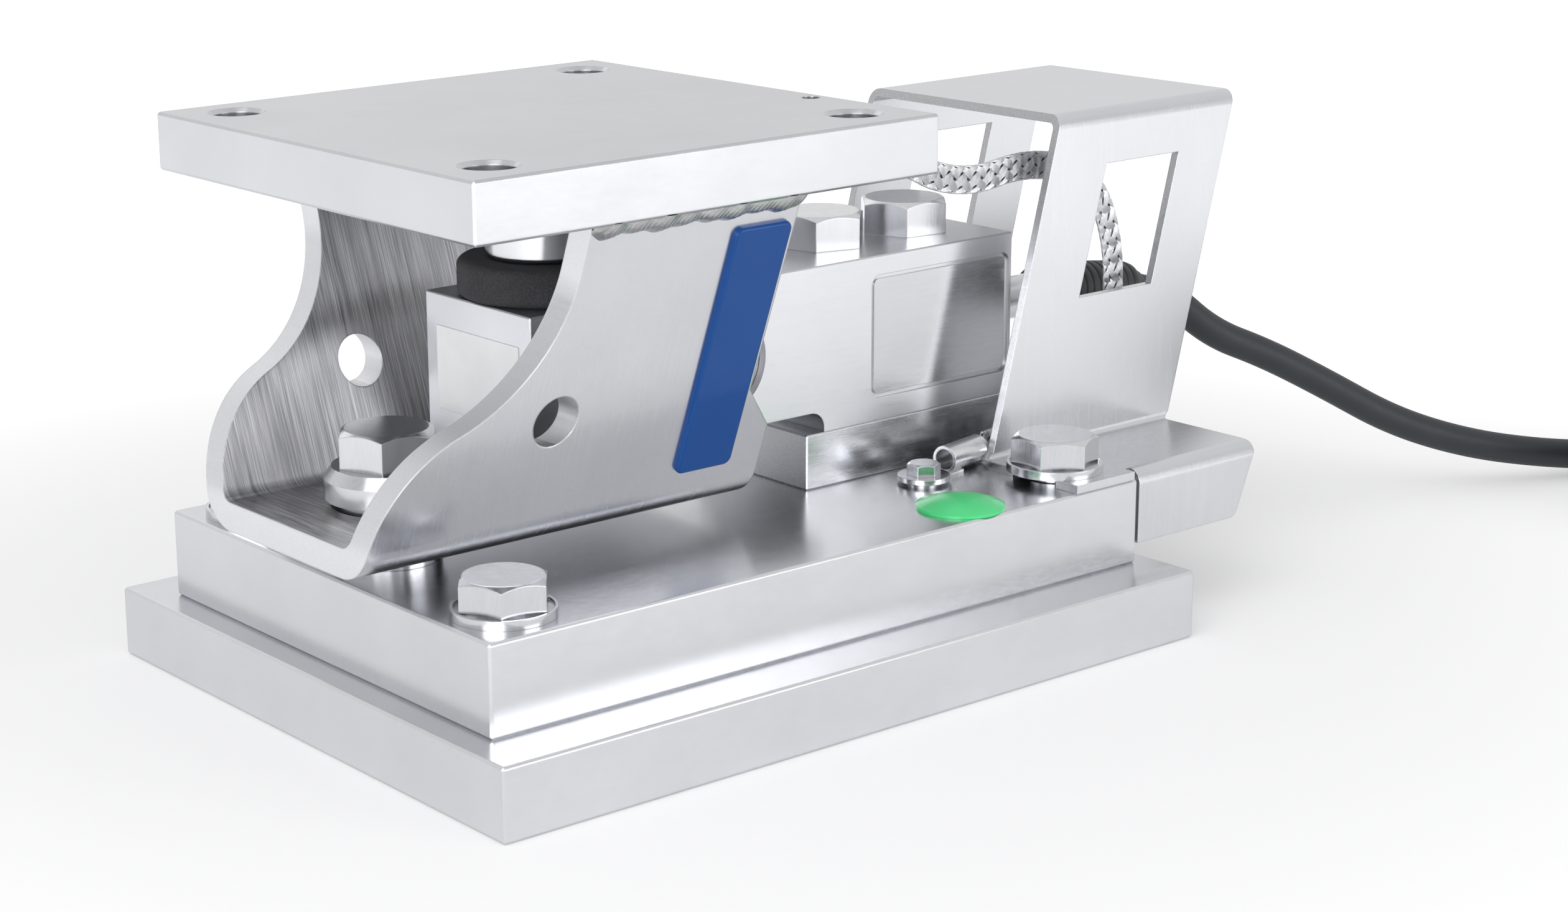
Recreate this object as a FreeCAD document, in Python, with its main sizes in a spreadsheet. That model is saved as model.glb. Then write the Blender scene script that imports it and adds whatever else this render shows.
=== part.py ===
"""Load cell weighing module: a shear beam load cell between a bolted base and a self-centring top plate.

Millimetres, +Z up. The origin is the middle of the lower plate's underside, and +X points to the cable.
"""
import FreeCAD, Part
import math
import os

import Sketcher
from FreeCAD import Placement, Rotation, Vector

SIZES = [
    ("foundation_long", 244.5, "lower plate along X"),
    ("foundation_wide", 187.0, "lower plate along Y"),
    ("foundation_thick", 20.0, "lower plate"),
    ("foundation_tap_deep", 15.0, "blind tapped holes of the lower plate"),
    ("base_long", 229.0, "base plate along X"),
    ("base_wide", 154.0, "base plate along Y"),
    ("base_thick", 25.0, "base plate"),
    ("base_shift", 0.8, "middle of the base plate towards +X"),
    ("base_tap_deep", 22.0, "blind tapped holes of the base plate"),
    ("plate_bevel", 0.7, "broken edges of the plates"),
    ("corner_inset_long", 16.75, "corner bolts to the base plate's ends"),
    ("corner_inset_wide", 17.0, "corner bolts to the base plate's sides"),
    ("corner_bolt_dia", 14.0, "corner bolt shank"),
    ("corner_bolt_flats", 22.0, "corner bolt head across its flats"),
    ("corner_bolt_head", 8.8, "corner bolt head height"),
    ("corner_bolt_long", 40.0, "corner bolt under its head"),
    ("corner_hole_dia", 16.0, "clearance holes of the base plate"),
    ("corner_washer_dia", 27.6, "corner washer"),
    ("corner_washer_thick", 2.5, "corner washer"),
    ("corner_washer_rim", 0.9, "raised rim of the corner washer"),
    ("washer_dish_deep", 0.8, "dish inside the rim"),
    ("thread_gap", 0.05, "shank to tapped wall, radial"),
    ("hole_gap", 0.5, "shank to plain hole, radial"),
    ("spacer_front", 35.1, "front end of the spacer"),
    ("spacer_wide", 49.0, "spacer along Y"),
    ("spacer_thick", 16.2, "spacer"),
    ("spacer_bevel", 0.4, "broken edges of the spacer"),
    ("beam_front", -61.0, "free end of the load cell"),
    ("beam_back", 116.0, "cable end of the load cell and the spacer"),
    ("beam_wide", 48.4, "load cell along Y"),
    ("beam_tall", 48.4, "load cell"),
    ("beam_bevel", 0.4, "broken edges of the load cell"),
    ("relief_tall", 6.1, "relief under the free end"),
    ("relief_back", 42.0, "end of that relief"),
    ("relief_round", 5.0, "rounded end of that relief"),
    ("gauge_dia", 29.0, "gauge recess in each side"),
    ("gauge_deep", 12.0, "gauge recess"),
    ("gauge_place", 5.5, "gauge recess along X"),
    ("gauge_rise", 25.8, "gauge recess above the beam's underside"),
    ("membrane_inset", 2.6, "membrane below the beam's side"),
    ("membrane_thick", 1.0, "membrane"),
    ("membrane_ring_dia", 21.0, "raised ring of the membrane"),
    ("membrane_ring_tall", 0.6, "that ring above the membrane"),
    ("membrane_gap", 0.1, "membrane to recess wall, radial"),
    ("pocket_front", 60.0, "nameplate pocket, front edge"),
    ("pocket_long", 54.5, "nameplate pocket along X"),
    ("pocket_rise", 6.5, "nameplate pocket above the beam's underside"),
    ("pocket_tall", 36.2, "nameplate pocket"),
    ("pocket_round", 3.0, "corners of the nameplate pocket"),
    ("pocket_deep", 0.9, "nameplate pocket"),
    ("nameplate_thick", 0.5, "nameplate"),
    ("nameplate_gap", 1.2, "nameplate to pocket wall"),
    ("label_wide", 38.0, "label on the free end along Y"),
    ("label_tall", 23.4, "label on the free end"),
    ("label_rise", 16.2, "label above the beam's underside"),
    ("label_thick", 0.2, "label"),
    ("cell_bolt_front", 61.5, "first load cell bolt along X"),
    ("cell_bolt_pitch", 33.0, "load cell bolts, hole to hole"),
    ("cell_bolt_dia", 16.0, "load cell bolt and retaining bolt shank"),
    ("cell_bolt_flats", 24.0, "their heads across the flats"),
    ("cell_bolt_head", 10.0, "their heads"),
    ("cell_bolt_long", 84.0, "load cell bolt under its head"),
    ("gland_rise", 21.2, "gland's axis above the beam's underside"),
    ("gland_dia", 13.0, "gland barrel"),
    ("gland_long", 34.0, "gland barrel outside the beam"),
    ("gland_stub_dia", 10.0, "gland thread in the beam"),
    ("gland_stub_long", 8.0, "gland thread in the beam"),
    ("sleeve_long", 45.0, "ribbed sleeve along X"),
    ("sleeve_drop", 4.9, "sag of the sleeve's end"),
    ("sleeve_tail", 4.0, "thin end of the sleeve"),
    ("sleeve_tail_dia", 12.4, "thin end of the sleeve"),
    ("sleeve_core_dia", 15.4, "sleeve between its ribs"),
    ("sleeve_rib_dia", 16.4, "sleeve over its ribs"),
    ("sleeve_rib_long", 2.5, "one rib"),
    ("cable_dia", 10.0, "signal cable"),
    ("cable_straight", 16.0, "first run of the cable, in line with the sleeve's end"),
    ("coil_mean_dia", 115.0, "coil, across the middle of its turns"),
    ("coil_columns", 3.0, "turns side by side"),
    ("coil_layers", 3.0, "turns on top of each other"),
    ("coil_run", 38.32, "cable's straight run on to the coil"),
    ("lead_dia", 1.5, "one stripped core"),
    ("lead_long", 30.0, "stripped cores"),
    ("lead_place_x", 48.4, "stripped cores' start from the coil's middle, along X"),
    ("lead_place_y", 0.8, "stripped cores' start from the coil's middle, along Y"),
    ("pin_place", -38.25, "axis of the pin and of the top plate along X"),
    ("pin_dia", 16.0, "rocker pin"),
    ("pin_dome", 30.0, "radius of the pin's domed ends"),
    ("seat_gap", 0.05, "pin's end to its seat"),
    ("seat_deep", 21.6, "seat below the load cell's top"),
    ("bore_dia", 18.0, "blind bores over the pin's ends"),
    ("seal_inner_dia", 17.0, "seal rings, inside"),
    ("seal_thick", 2.0, "seal rings, along the pin"),
    ("seal_gap", 0.05, "seal rings to the bore, radial"),
    ("seal_inset", 1.0, "seal rings from the bore's mouth"),
    ("foam_dia", 47.5, "foam ring"),
    ("foam_hole_dia", 20.0, "foam ring, inside"),
    ("foam_tall", 10.4, "foam ring"),
    ("foam_round", 2.2, "foam ring's rounded edges"),
    ("foam_gap", 0.3, "foam ring to the receiver"),
    ("receiver_dia", 32.0, "receiver cup"),
    ("receiver_tall", 22.2, "receiver cup"),
    ("receiver_bore_deep", 11.7, "receiver's blind bore"),
    ("receiver_bevel", 1.2, "receiver's lower edge"),
    ("top_side", 150.0, "square top plate"),
    ("top_thick", 16.0, "top plate"),
    ("top_hole_pitch", 118.0, "top plate's holes, hole to hole"),
    ("top_hole_dia", 14.0, "top plate's holes"),
    ("top_hole_bevel", 1.1, "chamfer of those holes"),
    ("earth_hole_dia", 5.0, "tapped holes for the earth screws"),
    ("earth_top_x", 31.6, "upper earth screw along X"),
    ("earth_top_y", -29.7, "upper earth screw along Y"),
    ("earth_base_x", 66.5, "lower earth screw along X"),
    ("earth_base_y", -39.5, "lower earth screw along Y"),
    ("earth_flats", 8.5, "earth screws across their flats"),
    ("earth_head", 3.5, "earth screw heads"),
    ("earth_long", 11.0, "earth screws under their heads"),
    ("earth_washer_dia", 15.0, "washer of the lower earth screw"),
    ("earth_washer_thick", 1.5, "that washer"),
    ("lug_thick", 1.0, "cable lug's tongue"),
    ("lug_wide", 9.0, "cable lug's ring"),
    ("lug_neck_wide", 6.0, "cable lug's tongue"),
    ("lug_overlap", 5.6, "tongue along the barrel"),
    ("lug_barrel_dia", 8.0, "cable lug's barrel"),
    ("lug_barrel_start", 10.5, "barrel from the screw's axis"),
    ("lug_barrel_long", 17.0, "cable lug's barrel"),
    ("lug_wall", 1.0, "wall of the barrel"),
    ("strap_wide", 8.0, "earth strap"),
    ("strap_thick", 2.6, "earth strap"),
    ("strap_gap", 0.7, "earth strap's ends to the mouths of its lugs"),
    ("yoke_thick", 8.0, "yoke plate"),
    ("yoke_rise", 7.0, "yoke's underside above the base plate"),
    ("yoke_foot_half", 36.1, "half width of the V at its underside, sharp corner"),
    ("yoke_flare", 0.374, "outward lean of each leg, per unit of height"),
    ("yoke_bend", 5.0, "inner bend radius of the yoke"),
    ("yoke_front", -124.0, "front end of the yoke's foot"),
    ("yoke_neck_front", -74.5, "front edge of the legs at the top plate"),
    ("yoke_neck_low", 130.5, "height where that edge starts to sweep forward"),
    ("yoke_sweep_upper", 44.0, "hollow radius of the sweep"),
    ("yoke_sweep_lower", 37.0, "round radius of the sweep"),
    ("yoke_neck_back", -6.5, "rear edge of the legs"),
    ("yoke_back", 3.4, "rear end of the yoke's foot"),
    ("yoke_back_high", 86.0, "top of the rear slant"),
    ("yoke_back_low", 74.0, "bottom of the rear slant"),
    ("yoke_pass_dia", 31.0, "yoke's hole round the retaining neck"),
    ("cross_hole_dia", 14.0, "cross hole through both legs"),
    ("cross_hole_x", -72.0, "cross hole along X"),
    ("cross_hole_z", 88.5, "cross hole's height"),
    ("weld_leg", 4.4, "leg of the weld beads"),
    ("weld_round", 6.0, "crown of the weld beads"),
    ("badge_back", -8.2, "rear edge of the badge"),
    ("badge_wide", 19.0, "badge along X"),
    ("badge_long", 75.0, "badge up the leg"),
    ("badge_low", 65.0, "badge's lower edge"),
    ("badge_thick", 1.6, "badge"),
    ("badge_round", 2.5, "badge's corners"),
    ("badge_edge", 1.0, "badge's rounded face edge"),
    ("retainer_place", -91.0, "retaining bolt along X"),
    ("retainer_dia", 34.5, "retaining collar"),
    ("retainer_tall", 8.6, "retaining collar"),
    ("retainer_bevel", 3.0, "collar's top bevel along its height"),
    ("retainer_bevel_wide", 2.25, "collar's top bevel along its radius"),
    ("retainer_neck_dia", 28.0, "neck under the collar"),
    ("retainer_bolt_long", 46.0, "retaining bolt under its head"),
    ("lift_gap", 2.25, "yoke's floor to the collar"),
    ("cap_dia", 25.0, "green cap"),
    ("cap_tall", 3.5, "green cap"),
    ("cap_rim", 0.8, "green cap's edge"),
    ("cap_stem_dia", 20.0, "hole under the green cap"),
    ("cap_stem_long", 5.0, "green cap's stem"),
    ("cap_inset_long", 58.6, "green cap to the base plate's rear end"),
    ("cap_inset_wide", 12.4, "green cap to the base plate's near side"),
    ("cover_thick", 2.5, "cover sheet"),
    ("cover_half_wide", 40.5, "cover's outer face from the middle"),
    ("cover_top", 145.5, "cover's top"),
    ("cover_bend", 1.8, "inner bend radius of the cover"),
    ("cover_front", -21.8, "cover panel's front edge above its bend, from the base plate's rear end"),
    ("cover_long", 74.5, "cover panel along X"),
    ("cover_lean", 0.26, "backward lean of the panels, per unit of height"),
    ("cover_foot_front", -25.0, "front end of the feet, from the same end"),
    ("cover_foot_back", 50.2, "rear end of the feet, from the same end"),
    ("cover_slot_wide", 17.0, "slots round the corner bolts"),
    ("cover_flange_front", 0.7, "front end of the hanging flanges, from the same end"),
    ("cover_flange_low", 25.7, "bottom of the hanging flanges"),
    ("cover_flange_back", 42.7, "rear end of the flanges at their bottom, from the same end"),
    ("cover_flange_round", 4.0, "rounded rear corner of the flanges"),
    ("cover_flange_lean", 1.0, "how far that corner's upper end stands behind its lower end"),
    ("cover_relief_wide", 2.2, "bend relief beside each flange"),
    ("window_inset", 23.4, "window from the panel's front edge"),
    ("window_wide", 31.0, "window along X"),
    ("window_low", 90.5, "window sill"),
    ("window_high", 129.3, "window head"),
]

# The cable leaves the sleeve straight, falls to the ground and runs to the coil.
CABLE_ROUTE = [
    (231.0, -1.0, 57.8),
    (253.0, -3.6, 44.0),
    (278.0, -9.8, 30.0),
    (302.0, -20.4, 17.6),
    (324.0, -36.0, 8.4),
    (345.0, -53.6, 5.0),
    (368.0, -66.0, 5.0),
]

# The earth strap in its upright plane: along X, then height.
STRAP_ROUTE = [
    (67.0, 137.4),
    (79.0, 130.6),
    (95.0, 127.8),
    (112.0, 130.6),
    (130.0, 128.4),
    (148.0, 119.0),
    (155.0, 100.0),
    (155.0, 80.0),
    (149.0, 62.0),
    (132.0, 51.0),
    (113.0, 49.8),
]

# Where the cable turns on to the coil, seen from above.
COIL_HEADING = math.radians(-14.656)

# Turn of each bolt head about its axis, in degrees.
CORNER_HEAD_TURNS = [51.7, 12.0, 25.7, 25.0]
CELL_HEAD_TURNS = [44.0, 51.7]
RETAINER_HEAD_TURN = 51.0
STRAP_HEAD_TURN = 15.0
GROUND_HEAD_TURN = 26.0

# Shares: of a run taken up by its rounded corner, and of a sweep's volume that may differ.
CORNER_SHARE = 0.45
VOLUME_SHARE = 0.01
SMALL = 0.001
LEAST_CUT = 1.0

ROOT_THREE = math.sqrt(3)
HEAD_CROWN = 0.475
RIB_COUNT = 13
LEAD_COUNT = 6
LEAD_FAN = 9.0
LEAD_HEADING = -77.7
LEAD_ASIDE = (-math.sin(math.radians(LEAD_HEADING)), math.cos(math.radians(LEAD_HEADING)))

doc = FreeCAD.newDocument("LoadCellModule")
sheet = doc.addObject("Spreadsheet::Sheet", "Sizes")


class Size:
    """A length: its value, and the sheet formula that gives it."""

    def __init__(self, value, formula):
        self.value = value
        self.formula = formula

    def __add__(self, other):
        return join(self, "+", other, self.value + value_of(other))

    def __radd__(self, other):
        return join(other, "+", self, value_of(other) + self.value)

    def __sub__(self, other):
        return join(self, "-", other, self.value - value_of(other))

    def __rsub__(self, other):
        return join(other, "-", self, value_of(other) - self.value)

    def __mul__(self, other):
        return join(self, "*", other, self.value * value_of(other))

    def __rmul__(self, other):
        return join(other, "*", self, value_of(other) * self.value)

    def __truediv__(self, other):
        return join(self, "/", other, self.value / value_of(other))

    def __neg__(self):
        return self * -1.0


def value_of(amount):
    return amount.value if isinstance(amount, Size) else float(amount)


def formula_of(amount):
    return amount.formula if isinstance(amount, Size) else "(%.10g)" % amount


def join(first, sign, second, value):
    return Size(value, "(%s %s %s)" % (formula_of(first), sign, formula_of(second)))


def root(amount):
    return Size(math.sqrt(amount.value), "sqrt(%s)" % amount.formula)


class Sheet:
    """The named sizes as attributes."""


size = Sheet()
for row, (alias, number, meaning) in enumerate(SIZES, start=1):
    sheet.set("A%d" % row, meaning)
    sheet.set("B%d" % row, str(number))
    sheet.setAlias("B%d" % row, alias)
    setattr(size, alias, Size(number, "Sizes." + alias))
doc.recompute()

# Levels that several pieces share.
base_low = size.foundation_thick
base_top = base_low + size.base_thick
beam_low = base_top + size.spacer_thick
beam_top = beam_low + size.beam_tall
beam_side = size.beam_wide / 2
receiver_low = beam_top + size.foam_tall + size.foam_gap
top_low = receiver_low + size.receiver_tall
top_high = top_low + size.top_thick
yoke_low = base_top + size.yoke_rise
yoke_floor = yoke_low + size.yoke_thick
collar_low = yoke_floor + size.lift_gap
collar_high = collar_low + size.retainer_tall
gland_height = beam_low + size.gland_rise
gland_end = size.beam_back + size.gland_long
pin_low = beam_top - size.seat_deep + size.seat_gap
base_front = size.base_shift - size.base_long / 2
base_back = size.base_shift + size.base_long / 2
coil_outer = (size.coil_mean_dia + (size.coil_columns - 1) * size.cable_dia) / 2
coil_joint_x = size.coil_run * math.cos(COIL_HEADING) + CABLE_ROUTE[-1][0]
coil_joint_y = size.coil_run * math.sin(COIL_HEADING) + CABLE_ROUTE[-1][1]
coil_x = coil_joint_x + coil_outer * math.sin(COIL_HEADING)
coil_y = coil_joint_y - coil_outer * math.cos(COIL_HEADING)
cap_x = base_back - size.cap_inset_long
cap_y = size.cap_inset_wide - size.base_wide / 2
cell_bolt_spots = [size.cell_bolt_front, size.cell_bolt_front + size.cell_bolt_pitch]

UPRIGHT = Rotation()
ALONG_X = Rotation(Vector(0, 1, 0), 90)
ALONG_Y = Rotation(Vector(1, 0, 0), -90)
AGAINST_Y = Rotation(Vector(1, 0, 0), 90)
UPSIDE_DOWN = Rotation(Vector(1, 0, 0), 180)

pieces = []


def bind(thing, **amounts):
    """Sets properties, and ties those that are sizes to the sheet."""
    for name, amount in amounts.items():
        if isinstance(amount, Size):
            thing.setExpression(name, amount.formula)
        else:
            setattr(thing, name, amount)


def place(thing, x=0, y=0, z=0, turn=UPRIGHT):
    """Places a thing, with each coordinate that is a size tied to the sheet."""
    thing.Placement = Placement(Vector(value_of(x), value_of(y), value_of(z)), turn)
    for axis, amount in zip("xyz", (x, y, z)):
        if isinstance(amount, Size):
            thing.setExpression("Placement.Base." + axis, amount.formula)
    return thing


def piece(thing, label):
    """Names a finished sub-part and lists it for export."""
    thing.Label = label
    pieces.append(thing)
    return thing


def box(name, corner, long, wide, tall):
    thing = doc.addObject("Part::Box", name)
    bind(thing, Length=long, Width=wide, Height=tall)
    return place(thing, *corner)


def cylinder(name, radius, tall, x=0, y=0, z=0, turn=UPRIGHT):
    thing = doc.addObject("Part::Cylinder", name)
    bind(thing, Radius=radius, Height=tall)
    return place(thing, x, y, z, turn)


def cone(name, low_radius, high_radius, tall, x=0, y=0, z=0):
    thing = doc.addObject("Part::Cone", name)
    bind(thing, Radius1=low_radius, Radius2=high_radius, Height=tall)
    return place(thing, x, y, z)


def fuse(name, parts):
    thing = doc.addObject("Part::MultiFuse", name)
    thing.Shapes = parts
    return thing


def common(name, parts):
    thing = doc.addObject("Part::MultiCommon", name)
    thing.Shapes = parts
    return thing


def cut(name, whole, tools):
    thing = doc.addObject("Part::Cut", name)
    thing.Base = whole
    thing.Tool = tools[0] if len(tools) == 1 else fuse(name + "_tools", tools)
    return thing


def group(name, parts):
    thing = doc.addObject("Part::Compound", name)
    thing.Links = parts
    return thing


def new_body(name):
    return doc.addObject("PartDesign::Body", name)


def sketch_on(body, role, name, offset=None):
    """A sketch on one of the body's own origin planes, moved along the plane's normal by offset."""
    sketch = body.newObject("Sketcher::SketchObject", name)
    plane = [feature for feature in body.Origin.OriginFeatures if feature.Role == role][0]
    sketch.AttachmentSupport = [(plane, "")]
    sketch.MapMode = "FlatFace"
    if offset is not None:
        sketch.AttachmentOffset = Placement(Vector(0, 0, value_of(offset)), UPRIGHT)
        sketch.setExpression("AttachmentOffset.Base.z", offset.formula)
    return sketch


def hold(sketch, kind, geometry, end, amount):
    """One dimension of a sketch, tied to the sheet."""
    parts = (kind, geometry, value_of(amount)) if end is None else (kind, geometry, end, value_of(amount))
    index = sketch.addConstraint(Sketcher.Constraint(*parts))
    if isinstance(amount, Size):
        sketch.setExpression("Constraints[%d]" % index, amount.formula)


def outline(sketch, points):
    """A closed outline. A point with a radius starts an arc that turns left (1) or right (-1)."""
    ends = []
    for index, point in enumerate(points):
        following = points[(index + 1) % len(points)]
        start = Vector(value_of(point[0]), value_of(point[1]), 0)
        stop = Vector(value_of(following[0]), value_of(following[1]), 0)
        if len(point) == 2:
            ends.append((sketch.addGeometry(Part.LineSegment(start, stop)), 1, 2))
            continue
        radius = value_of(point[2])
        half = (stop - start) * 0.5
        left = Vector(-half.y, half.x, 0).normalize()
        rise = math.sqrt(max(radius ** 2 - half.Length ** 2, 0))
        circle = Part.Circle(start + half + left * rise * point[3], Vector(0, 0, 1), radius)
        first, last = (start, stop) if point[3] > 0 else (stop, start)
        arc = Part.ArcOfCircle(circle, circle.parameter(first), circle.parameter(last))
        geometry = sketch.addGeometry(arc)
        ends.append((geometry, 1, 2) if point[3] > 0 else (geometry, 2, 1))
    for index, point in enumerate(points):
        geometry, start, stop = ends[index]
        beside, beside_start, _ = ends[(index + 1) % len(points)]
        sketch.addConstraint(Sketcher.Constraint("Coincident", geometry, stop, beside, beside_start))
        hold(sketch, "DistanceX", geometry, start, point[0])
        hold(sketch, "DistanceY", geometry, start, point[1])
        if len(point) > 2:
            hold(sketch, "Radius", geometry, None, point[2])


def rectangle(low_x, high_x, low_y, high_y):
    return [(low_x, low_y), (high_x, low_y), (high_x, high_y), (low_x, high_y)]


def rounded_rectangle(low_x, high_x, low_y, high_y, radius):
    return [
        (low_x + radius, low_y),
        (high_x - radius, low_y, radius, 1),
        (high_x, low_y + radius),
        (high_x, high_y - radius, radius, 1),
        (high_x - radius, high_y),
        (low_x + radius, high_y, radius, 1),
        (low_x, high_y - radius),
        (low_x, low_y + radius, radius, 1),
    ]


def circle(sketch, x, y, radius):
    centre = Vector(value_of(x), value_of(y), 0)
    geometry = sketch.addGeometry(Part.Circle(centre, Vector(0, 0, 1), value_of(radius)))
    hold(sketch, "DistanceX", geometry, 3, x)
    hold(sketch, "DistanceY", geometry, 3, y)
    hold(sketch, "Radius", geometry, None, radius)


def pad(body, sketch, long, symmetric=False):
    thing = body.newObject("PartDesign::Pad", sketch.Name + "_pad")
    thing.Profile = sketch
    thing.SideType = "Symmetric" if symmetric else "One side"
    bind(thing, Length=long)
    return thing


def pocket(body, sketch, deep=None, backwards=False):
    """A cut against the sketch's normal, or right through both ways when no depth is given."""
    thing = body.newObject("PartDesign::Pocket", sketch.Name + "_pocket")
    thing.Profile = sketch
    if deep is None:
        thing.SideType = "Symmetric"
        thing.Type = "ThroughAll"
    else:
        bind(thing, Length=deep)
        thing.Reversed = backwards
    return thing


def edge_names(shape, wanted):
    return ["Edge%d" % number for number, edge in enumerate(shape.Edges, start=1) if wanted(edge)]


def chamfer(body, base, wanted, amount):
    doc.recompute()
    thing = body.newObject("PartDesign::Chamfer", base.Name + "_chamfer")
    thing.Base = (base, edge_names(base.Shape, wanted))
    bind(thing, Size=amount)
    return thing


def fillet(body, base, wanted, radius):
    doc.recompute()
    thing = body.newObject("PartDesign::Fillet", base.Name + "_fillet")
    thing.Base = (base, edge_names(base.Shape, wanted))
    bind(thing, Radius=radius)
    return thing


def turned(name, points, x=0, y=0, z=0, turn=UPRIGHT):
    """A piece turned about its own Z axis from a half section of radius and height."""
    body = new_body(name)
    section = sketch_on(body, "XZ_Plane", name + "_section")
    outline(section, points)
    thing = body.newObject("PartDesign::Revolution", name + "_turned")
    thing.Profile = section
    thing.ReferenceAxis = (section, ["V_Axis"])
    thing.Angle = 360
    return place(body, x, y, z, turn)


def is_line(edge):
    return isinstance(edge.Curve, Part.Line)


def hex_bolt(name, dia, flats, head, long, spot, degrees=0.0, flip=False):
    """A hexagon head with its corners turned off, its seat at spot and its shank below."""
    hexagon = doc.addObject("Part::Prism", name + "_hexagon")
    bind(hexagon, Polygon=6, Circumradius=flats / ROOT_THREE, Height=head)
    hexagon.Placement = Placement(Vector(0, 0, 0), Rotation(Vector(0, 0, 1), degrees))
    crown = cone(name + "_crown", flats * HEAD_CROWN + head * ROOT_THREE, flats * HEAD_CROWN, head)
    top = common(name + "_head", [hexagon, crown])
    shank = cylinder(name + "_shank", dia / 2, long, z=-long)
    return place(fuse(name, [top, shank]), *spot, turn=UPSIDE_DOWN if flip else UPRIGHT)


def corner_spots():
    """The corner bolts: place, and the height that the washer lies on."""
    for end in (-1, 1):
        for side in (-1, 1):
            x = size.base_shift + (size.base_long / 2 - size.corner_inset_long) * end
            y = (size.base_wide / 2 - size.corner_inset_wide) * side
            seat = base_top if end < 0 else base_top + size.cover_thick
            yield x, y, seat


def plate(name, low_x, high_x, low_y, high_y, low, thick):
    """A flat plate with broken edges."""
    body = new_body(name)
    blank = sketch_on(body, "XY_Plane", name + "_blank", low)
    outline(blank, rectangle(low_x, high_x, low_y, high_y))
    return body, chamfer(body, pad(body, blank, thick), is_line, size.plate_bevel)


def foundation_plate():
    half_long = size.foundation_long / 2
    half_wide = size.foundation_wide / 2
    body, _ = plate("foundation", -half_long, half_long, -half_wide, half_wide, None, size.foundation_thick)
    taps = sketch_on(body, "XY_Plane", "foundation_taps", size.foundation_thick)
    for x, y, _ in corner_spots():
        circle(taps, x, y, size.corner_bolt_dia / 2 + size.thread_gap)
    pocket(body, taps, size.foundation_tap_deep)
    piece(body, "foundation_plate")


def base_plate():
    half_wide = size.base_wide / 2
    body, _ = plate("base", base_front, base_back, -half_wide, half_wide, base_low, size.base_thick)
    corners = sketch_on(body, "XY_Plane", "base_corners", base_top)
    for x, y, _ in corner_spots():
        circle(corners, x, y, size.corner_hole_dia / 2)
    pocket(body, corners)
    taps = sketch_on(body, "XY_Plane", "base_taps", base_top)
    for x in cell_bolt_spots + [size.retainer_place]:
        circle(taps, x, 0, size.cell_bolt_dia / 2 + size.thread_gap)
    pocket(body, taps, size.base_tap_deep)
    small = sketch_on(body, "XY_Plane", "base_small_holes", base_top)
    circle(small, size.earth_base_x, size.earth_base_y, size.earth_hole_dia / 2 + size.thread_gap)
    circle(small, cap_x, cap_y, size.cap_stem_dia / 2)
    pocket(body, small, size.earth_long)
    piece(body, "base_plate")


def corner_fasteners():
    bolts = []
    washers = []
    for number, (x, y, seat) in enumerate(corner_spots()):
        name = "corner%d" % (number + 1)
        outer = cylinder(name + "_disc", size.corner_washer_dia / 2, size.corner_washer_thick, x, y, seat)
        dish = size.corner_washer_dia / 2 - size.corner_washer_rim
        floor = seat + size.corner_washer_thick - size.washer_dish_deep
        hollow = cylinder(name + "_dish", dish, size.washer_dish_deep, x, y, floor)
        bore = cylinder(
            name + "_bore", size.corner_bolt_dia / 2 + size.hole_gap, size.corner_washer_thick, x, y, seat
        )
        washers.append(cut(name + "_washer", outer, [hollow, bore]))
        bolts.append(
            hex_bolt(
                name + "_bolt",
                size.corner_bolt_dia,
                size.corner_bolt_flats,
                size.corner_bolt_head,
                size.corner_bolt_long,
                (x, y, floor),
                CORNER_HEAD_TURNS[number],
            )
        )
    piece(group("corner_bolt_set", bolts), "corner_bolts")
    piece(group("corner_washer_set", washers), "corner_washers")


def cell_spacer():
    body = new_body("spacer")
    half = size.spacer_wide / 2
    blank = sketch_on(body, "XY_Plane", "spacer_blank", base_top)
    outline(blank, rectangle(size.spacer_front, size.beam_back, -half, half))
    chamfer(body, pad(body, blank, size.spacer_thick), is_line, size.spacer_bevel)
    holes = sketch_on(body, "XY_Plane", "spacer_holes", base_top)
    for x in cell_bolt_spots:
        circle(holes, x, 0, size.cell_bolt_dia / 2 + size.hole_gap)
    pocket(body, holes)
    piece(body, "cell_spacer")


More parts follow.
